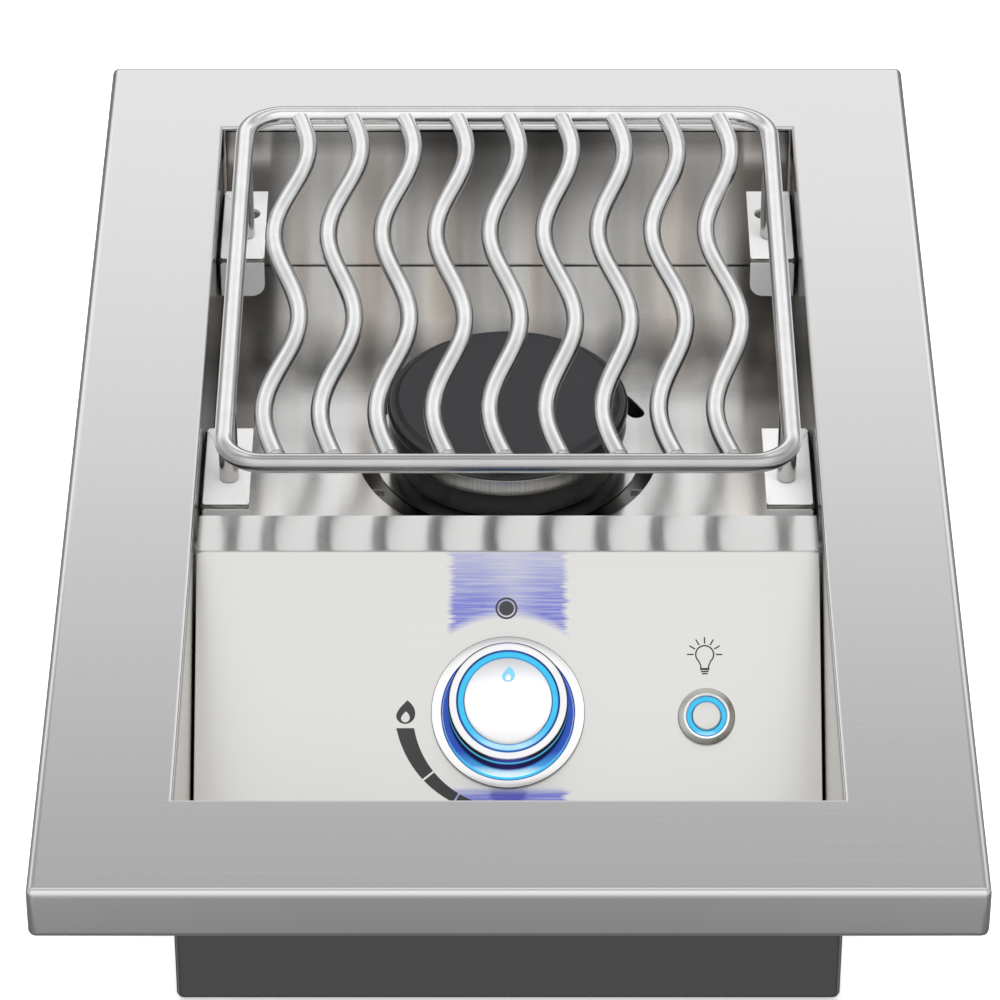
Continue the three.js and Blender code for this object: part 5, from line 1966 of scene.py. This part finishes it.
@dataclass
class Dial(Part):
    """The push-and-turn dial in its bezel.

    Attributes:
        bezel: The bezel's outer radius.
        bezel_inner: Its inner radius.
        bezel_height: Its height.
        glow_inner: Inner radius of the lit ring in the bezel.
        knob: The knob's radius.
        bore: Radius of the knob's hollow.
        lift: The knob's lower edge above the panel.
        height: The knob's height.
        ring: Outer radius of the face's lit ring.
        recess: Depth of the face's seat in the knob.
        face: Radius of the face.
        dome: Height of the face's dome.
        flame: From the face's middle up to the flame.
    """

    bezel: float = 30.8
    bezel_inner: float = 26.4
    bezel_height: float = 3.6
    glow_inner: float = 20.0
    knob: float = 23.85
    bore: float = 21.4
    lift: float = 6.0
    height: float = 22.0
    ring: float = 20.15
    recess: float = 2.4
    face: float = 17.3
    dome: float = 2.6
    flame: float = 10.6

    def build(self) -> None:
        """Makes the dial's pieces."""
        place = self.layout.panel_place(self.layout.dial)
        self.build_bezel(place)
        self.build_knob(place)

    def build_bezel(self, place: Matrix) -> None:
        """Makes the bezel and the lit ring in it.

        Args:
            place: Where the dial goes.
        """
        layout, inner, outer, top = self.layout, self.bezel_inner, self.bezel, self.bezel_height
        bezel = turned([(inner, 0.3, 0.0), (outer, 0.3, 0.0), (outer, top - 0.9, 0.25),
                        (inner + 0.3, top - 0.2, 0.3), (inner, top - 1.2, 0.3)], 6, 128)
        thing = self.shop.piece("bezel", bezel, LitBezel(layout, inner), "box", "bezel_chrome",
                                ["knob_bezel"], place)
        # Painted shade: the bezel's outer side is dark, a thin outline round it.
        self.shop.repaint(thing, BEZEL_SIDE, lambda face: layout.about_dial(face)[0] > outer - 0.24)
        rim = inner - 0.3
        glow = turned([(self.glow_inner, 0.3, 0.0), (rim, 0.3, 0.0), (rim, 2.3, 0.3),
                       (self.glow_inner, 1.9, 0.3)], 3, 128)
        light = LitRing("bezel_glow", (0.012, 0.03, 0.22), (0.028, 0.09, 0.46), (0.1, 0.55, 0.95),
                        (0.75, 0.95, 1.0), layout, layout.dial, 23.0, 28.6)
        self.shop.piece("bezel_glow", glow, light, "box", "blue_light", ["bezel_light_ring"], place)

    def build_knob(self, place: Matrix) -> None:
        """Makes the knob, its lit ring, its face and the flame on it.

        Args:
            place: Where the dial goes.
        """
        layout, ring, face, top = self.layout, self.ring, self.face, self.lift + self.height
        roof, seat, low = top - 5.0, top - self.recess, top - 2.1
        knob = turned([(0.0, roof, 0.0), (self.bore, roof, 1.0), (self.bore, self.lift, 0.5),
                       (self.knob, self.lift, 0.8), (self.knob, top, 1.0), (ring + 0.4, top, 0.2),
                       (ring + 0.3, seat, 0.2), (0.0, seat, 0.0)], 6, 128)
        thing = self.shop.piece("knob", knob, KNOB_SILVER, "knob", "knob_silver", ["knob_body"], place)
        # The knob's side and the gap round its lit ring are painted black as shade.
        self.shop.repaint(thing, KnobSide(layout, top), self.is_side)
        glow = turned([(face + 0.3, low, 0.0), (ring, low, 0.0), (ring, top + 0.1, 0.3),
                       (face + 0.3, top + 0.3, 0.3)], 4, 128)
        light = LitRing("knob_glow", BLUE_EDGE, BLUE_MIDDLE, (0.3, 0.72, 1.0), (0.5, 0.85, 1.0), layout,
                        layout.dial, face + 0.1, ring - 0.1)
        self.shop.piece("knob_glow", glow, light, "knob", "blue_light", ["knob_light_ring"], place)
        domed = [(face * s, top + 0.3 + self.dome * (1.0 - s * s)) for s in (0.0, 0.2, 0.4, 0.6, 0.8, 0.92)]
        edge = [(face * 0.985, top + 0.36), (face, top + 0.15), (face, low), (0.0, low)]
        self.shop.piece("face", spun(domed + edge, 96), FaceFinish(layout), "knob", "knob_silver",
                        ["knob_face"], place)
        lean = math.atan(2.0 * self.dome * self.flame / face ** 2)
        rise = top + 0.34 + self.dome * (1.0 - (self.flame / face) ** 2)
        tilt = place @ Matrix.Translation((0.0, self.flame, rise)) @ Matrix.Rotation(-lean, 4, "X")
        self.shop.piece("knob_flame", flame_mark(6.4), FLAME_BLUE, "knob", "blue_light", place=tilt)

    def is_side(self, face: MeshPolygon) -> bool:
        """Tells whether a face is on the knob's polished side or in the gap round its lit ring, which take
        painted shade.

        Args:
            face: The knob's face.

        Returns:
            True if it is.
        """
        reach, height = self.layout.about_dial(face)
        top = self.lift + self.height
        return (reach > 22.0 and height < top - 0.12) or (reach < self.ring + 0.5 and height < top - 0.2)


@dataclass
class LightSwitch(Part):
    """The ring-lit push switch.

    Attributes:
        flange: Radius of its flange.
        step: Radius where the flange steps down to the lit ring.
        ring: Outer radius of the lit ring.
        bore: Inner radius of the lit ring.
        cap: Radius of the push cap.
        barrel: Radius of the housing behind the panel.
        depth: How far the housing reaches behind the panel.
    """

    flange: float = 11.5
    step: float = 8.85
    ring: float = 8.0
    bore: float = 6.0
    cap: float = 5.7
    barrel: float = 7.8
    depth: float = 19.6

    def build(self) -> None:
        """Makes the switch's pieces."""
        layout, rim, bore, ring, step = self.layout, self.flange, self.bore, self.ring, self.step
        light = LitRing("switch_glow", BLUE_EDGE, BLUE_MIDDLE, (0.1, 0.62, 0.95), (0.35, 0.8, 1.0), layout,
                        layout.switch, 5.8, 8.1)
        for name, points, chords, finish, body, slot, replaces in (
                ("shell", [(0.0, -self.depth, 0.0), (self.barrel, -self.depth, 0.4), (self.barrel, 0.3, 0.0),
                           (rim, 0.3, 0.0), (rim, 1.7, 0.5), (step + 0.3, 2.6, 0.4), (ring + 0.3, 2.0, 0.2),
                           (ring + 0.3, 0.6, 0.0), (bore, 0.6, 0.0), (bore, -9.0, 0.0), (0.0, -9.0, 0.0)],
                 5, SWITCH_STEEL, "box", "switch_steel", ["switch_housing"]),
                # Painted highlight: the polished bevel is white.
                ("bevel", [(ring + 0.35, 2.06, 0.0), (step + 0.28, 2.64, 0.0), (step + 0.2, 2.72, 0.05),
                           (ring + 0.35, 2.2, 0.05)],
                 2, BEVEL_WHITE, "box", "switch_steel", []),
                ("glow", [(bore, 0.9, 0.0), (ring, 0.9, 0.0), (ring, 2.2, 0.3), (bore, 2.5, 0.3)],
                 4, light, "box", "blue_light", ["switch_light_ring"]),
                ("cap", [(0.0, -4.6, 0.0), (self.cap, -4.6, 0.3), (self.cap, 3.1, 0.5), (0.0, 3.4, 0.0)],
                 5, PANEL_STEEL, "light_button", "knob_silver", ["switch_button"])):
            self.shop.piece(f"switch_{name}", turned(points, chords, 96), finish, body, slot, replaces,
                            layout.panel_place(layout.switch))


# Studio

# Light from around the X axis: degrees from straight ahead, over the top at 90, to the back at 180
SKY_BANDS = ((-180, 0.2), (-150, 0.3), (-90, 0.15), (-50, 0.24), (-42, 0.34), (-35, 0.38), (-10, 0.5),
             (0, 0.62), (20, 0.9), (40, 1.02), (55, 1.08), (72, 1.08), (80, 0.7), (85, 0.42), (93, 0.42),
             (98, 0.95), (108, 1.0), (119, 0.7), (132, 0.4), (138, 0.42), (140.5, 0.58), (143.5, 0.88),
             (146, 1.04), (154, 1.12), (159, 1.0), (165, 0.45), (171, 0.24), (180, 0.2))
# Light from both sides: height from straight down to straight up
SKY_FLANKS = ((0.0, 0.15), (0.42, 0.25), (0.5, 0.55), (0.7, 0.7), (0.9, 0.4), (1.0, 0.22))


@dataclass
class Studio:
    """The camera, the soft light and the pale floor, in metres.

    Attributes:
        camera: The camera's place.
        tilt: How far it looks down, in degrees.
        lens: Its focal length in millimetres.
        sensor: Its sensor width in millimetres.
        floor_size: The floor's size.
        floor_glow: Where the floor's light starts, from the middle across and back.
        lamp: The lamp's place.
        lamp_size: Its size.
        lamp_power: Its power in watts.
    """

    camera: tuple[float, float, float] = (-0.0032, -1.7683, 1.4001)
    tilt: float = 37.0
    lens: float = 193.1
    sensor: float = 36.0
    floor_size: float = 24.0
    floor_glow: Point = (0.12, 0.225)
    lamp: tuple[float, float, float] = (0.2, -0.4, 2.4)
    lamp_size: float = 2.2
    lamp_power: float = 56.0

    def build(self) -> None:
        """Sets the studio up."""
        self.add_camera()
        self.add_floor()
        self.add_sky()
        self.add_lamp()
        bpy.context.scene.view_settings.view_transform = "Standard"

    def put(self, name: str, data: bpy.types.ID, spot: Sequence[float]) -> Thing:
        """Puts an object into the scene.

        Args:
            name: Its name.
            data: What it is.
            spot: Its place.

        Returns:
            The object.
        """
        thing = bpy.data.objects.new(name, data)
        thing.location = spot
        bpy.context.scene.collection.objects.link(thing)
        return thing

    def add_camera(self) -> None:
        """Puts the camera at the photograph's viewpoint."""
        data = bpy.data.cameras.new("camera")
        data.lens, data.sensor_width, data.clip_end = self.lens, self.sensor, 60.0
        thing = self.put("camera", data, self.camera)
        thing.rotation_euler = (math.radians(90.0 - self.tilt), 0.0, 0.0)
        bpy.context.scene.camera = thing

    def add_floor(self) -> None:
        """Lays the floor."""
        bm = bmesh.new()
        bmesh.ops.create_grid(bm, x_segments=1, y_segments=1, size=self.floor_size / 2.0)
        mesh = bpy.data.meshes.new("floor")
        bm.to_mesh(mesh)
        bm.free()
        thing = self.put("floor", mesh, (0.0, 0.0, -0.0002))
        recipe = Recipe("floor_white")
        across, deep = (recipe.minus(recipe.size(part), start)
                        for part, start in zip(recipe.axes(), self.floor_glow))
        glow = recipe.spread(recipe.larger(across, deep), 0.0, 0.75, 0.0, 0.01)
        mesh.materials.append(recipe.feed({"Base Color": (0.95, 0.95, 0.95), "Roughness": 0.9,
                                           "Emission Color": (1.0, 1.0, 1.0), "Emission Strength": glow}))
        thing.visible_glossy = False

    def add_sky(self) -> None:
        """Surrounds the scene with bands of light, by their angle about the X axis."""
        world = bpy.data.worlds.new("studio")
        bpy.context.scene.world = world
        world.use_nodes = True
        sky = Nodes(world.node_tree)
        place = sky.add("TexCoord", {}).outputs["Generated"]
        across, forth, height = sky.add("SeparateXYZ", {0: place}).outputs
        angle = sky.maths("ARCTAN2", height, sky.times(forth, -1.0))
        share = sky.maths("MULTIPLY_ADD", angle, 1.0 / WHOLE_TURN, 0.5)
        band = sky.greys(share, [((degrees + 180.0) / 360.0, level) for degrees, level in SKY_BANDS])
        flank = sky.greys(sky.maths("MULTIPLY_ADD", height, 0.5, 0.5), SKY_FLANKS)
        reach = sky.spread(sky.size(across), 0.0, 1.0, 0.45, 0.9, "SMOOTHSTEP")
        back = sky.tree.nodes["Background"]
        sky.put(back.inputs["Color"], sky.blend(reach, band, flank))
        sky.put(back.inputs["Strength"], 1.0)

    def add_lamp(self) -> None:
        """Hangs one soft lamp overhead, aimed at the middle."""
        data = bpy.data.lights.new("overhead", "AREA")
        data.shape, data.size, data.energy = "SQUARE", self.lamp_size, self.lamp_power
        thing = self.put("overhead", data, self.lamp)
        thing.visible_glossy = False
        thing.rotation_euler = (-Vector(self.lamp)).to_track_quat("-Z", "Y").to_euler()


def main() -> None:
    """Builds the dressed burner."""
    logging.basicConfig(level=logging.INFO, format="%(name)s: %(message)s")
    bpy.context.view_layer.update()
    Studio().build()
    parts = (Workshop(), Layout())
    for kind in (Innards, TrimFrame, ControlPanel, BurnerDeck):
        kind(*parts).build()
    for corner in Corner:
        GrateBracket(*parts, corner).build()
    for kind in (Grate, Burner, Dial, LightSwitch):
        kind(*parts).build()


if __name__ == "__main__":
    main()
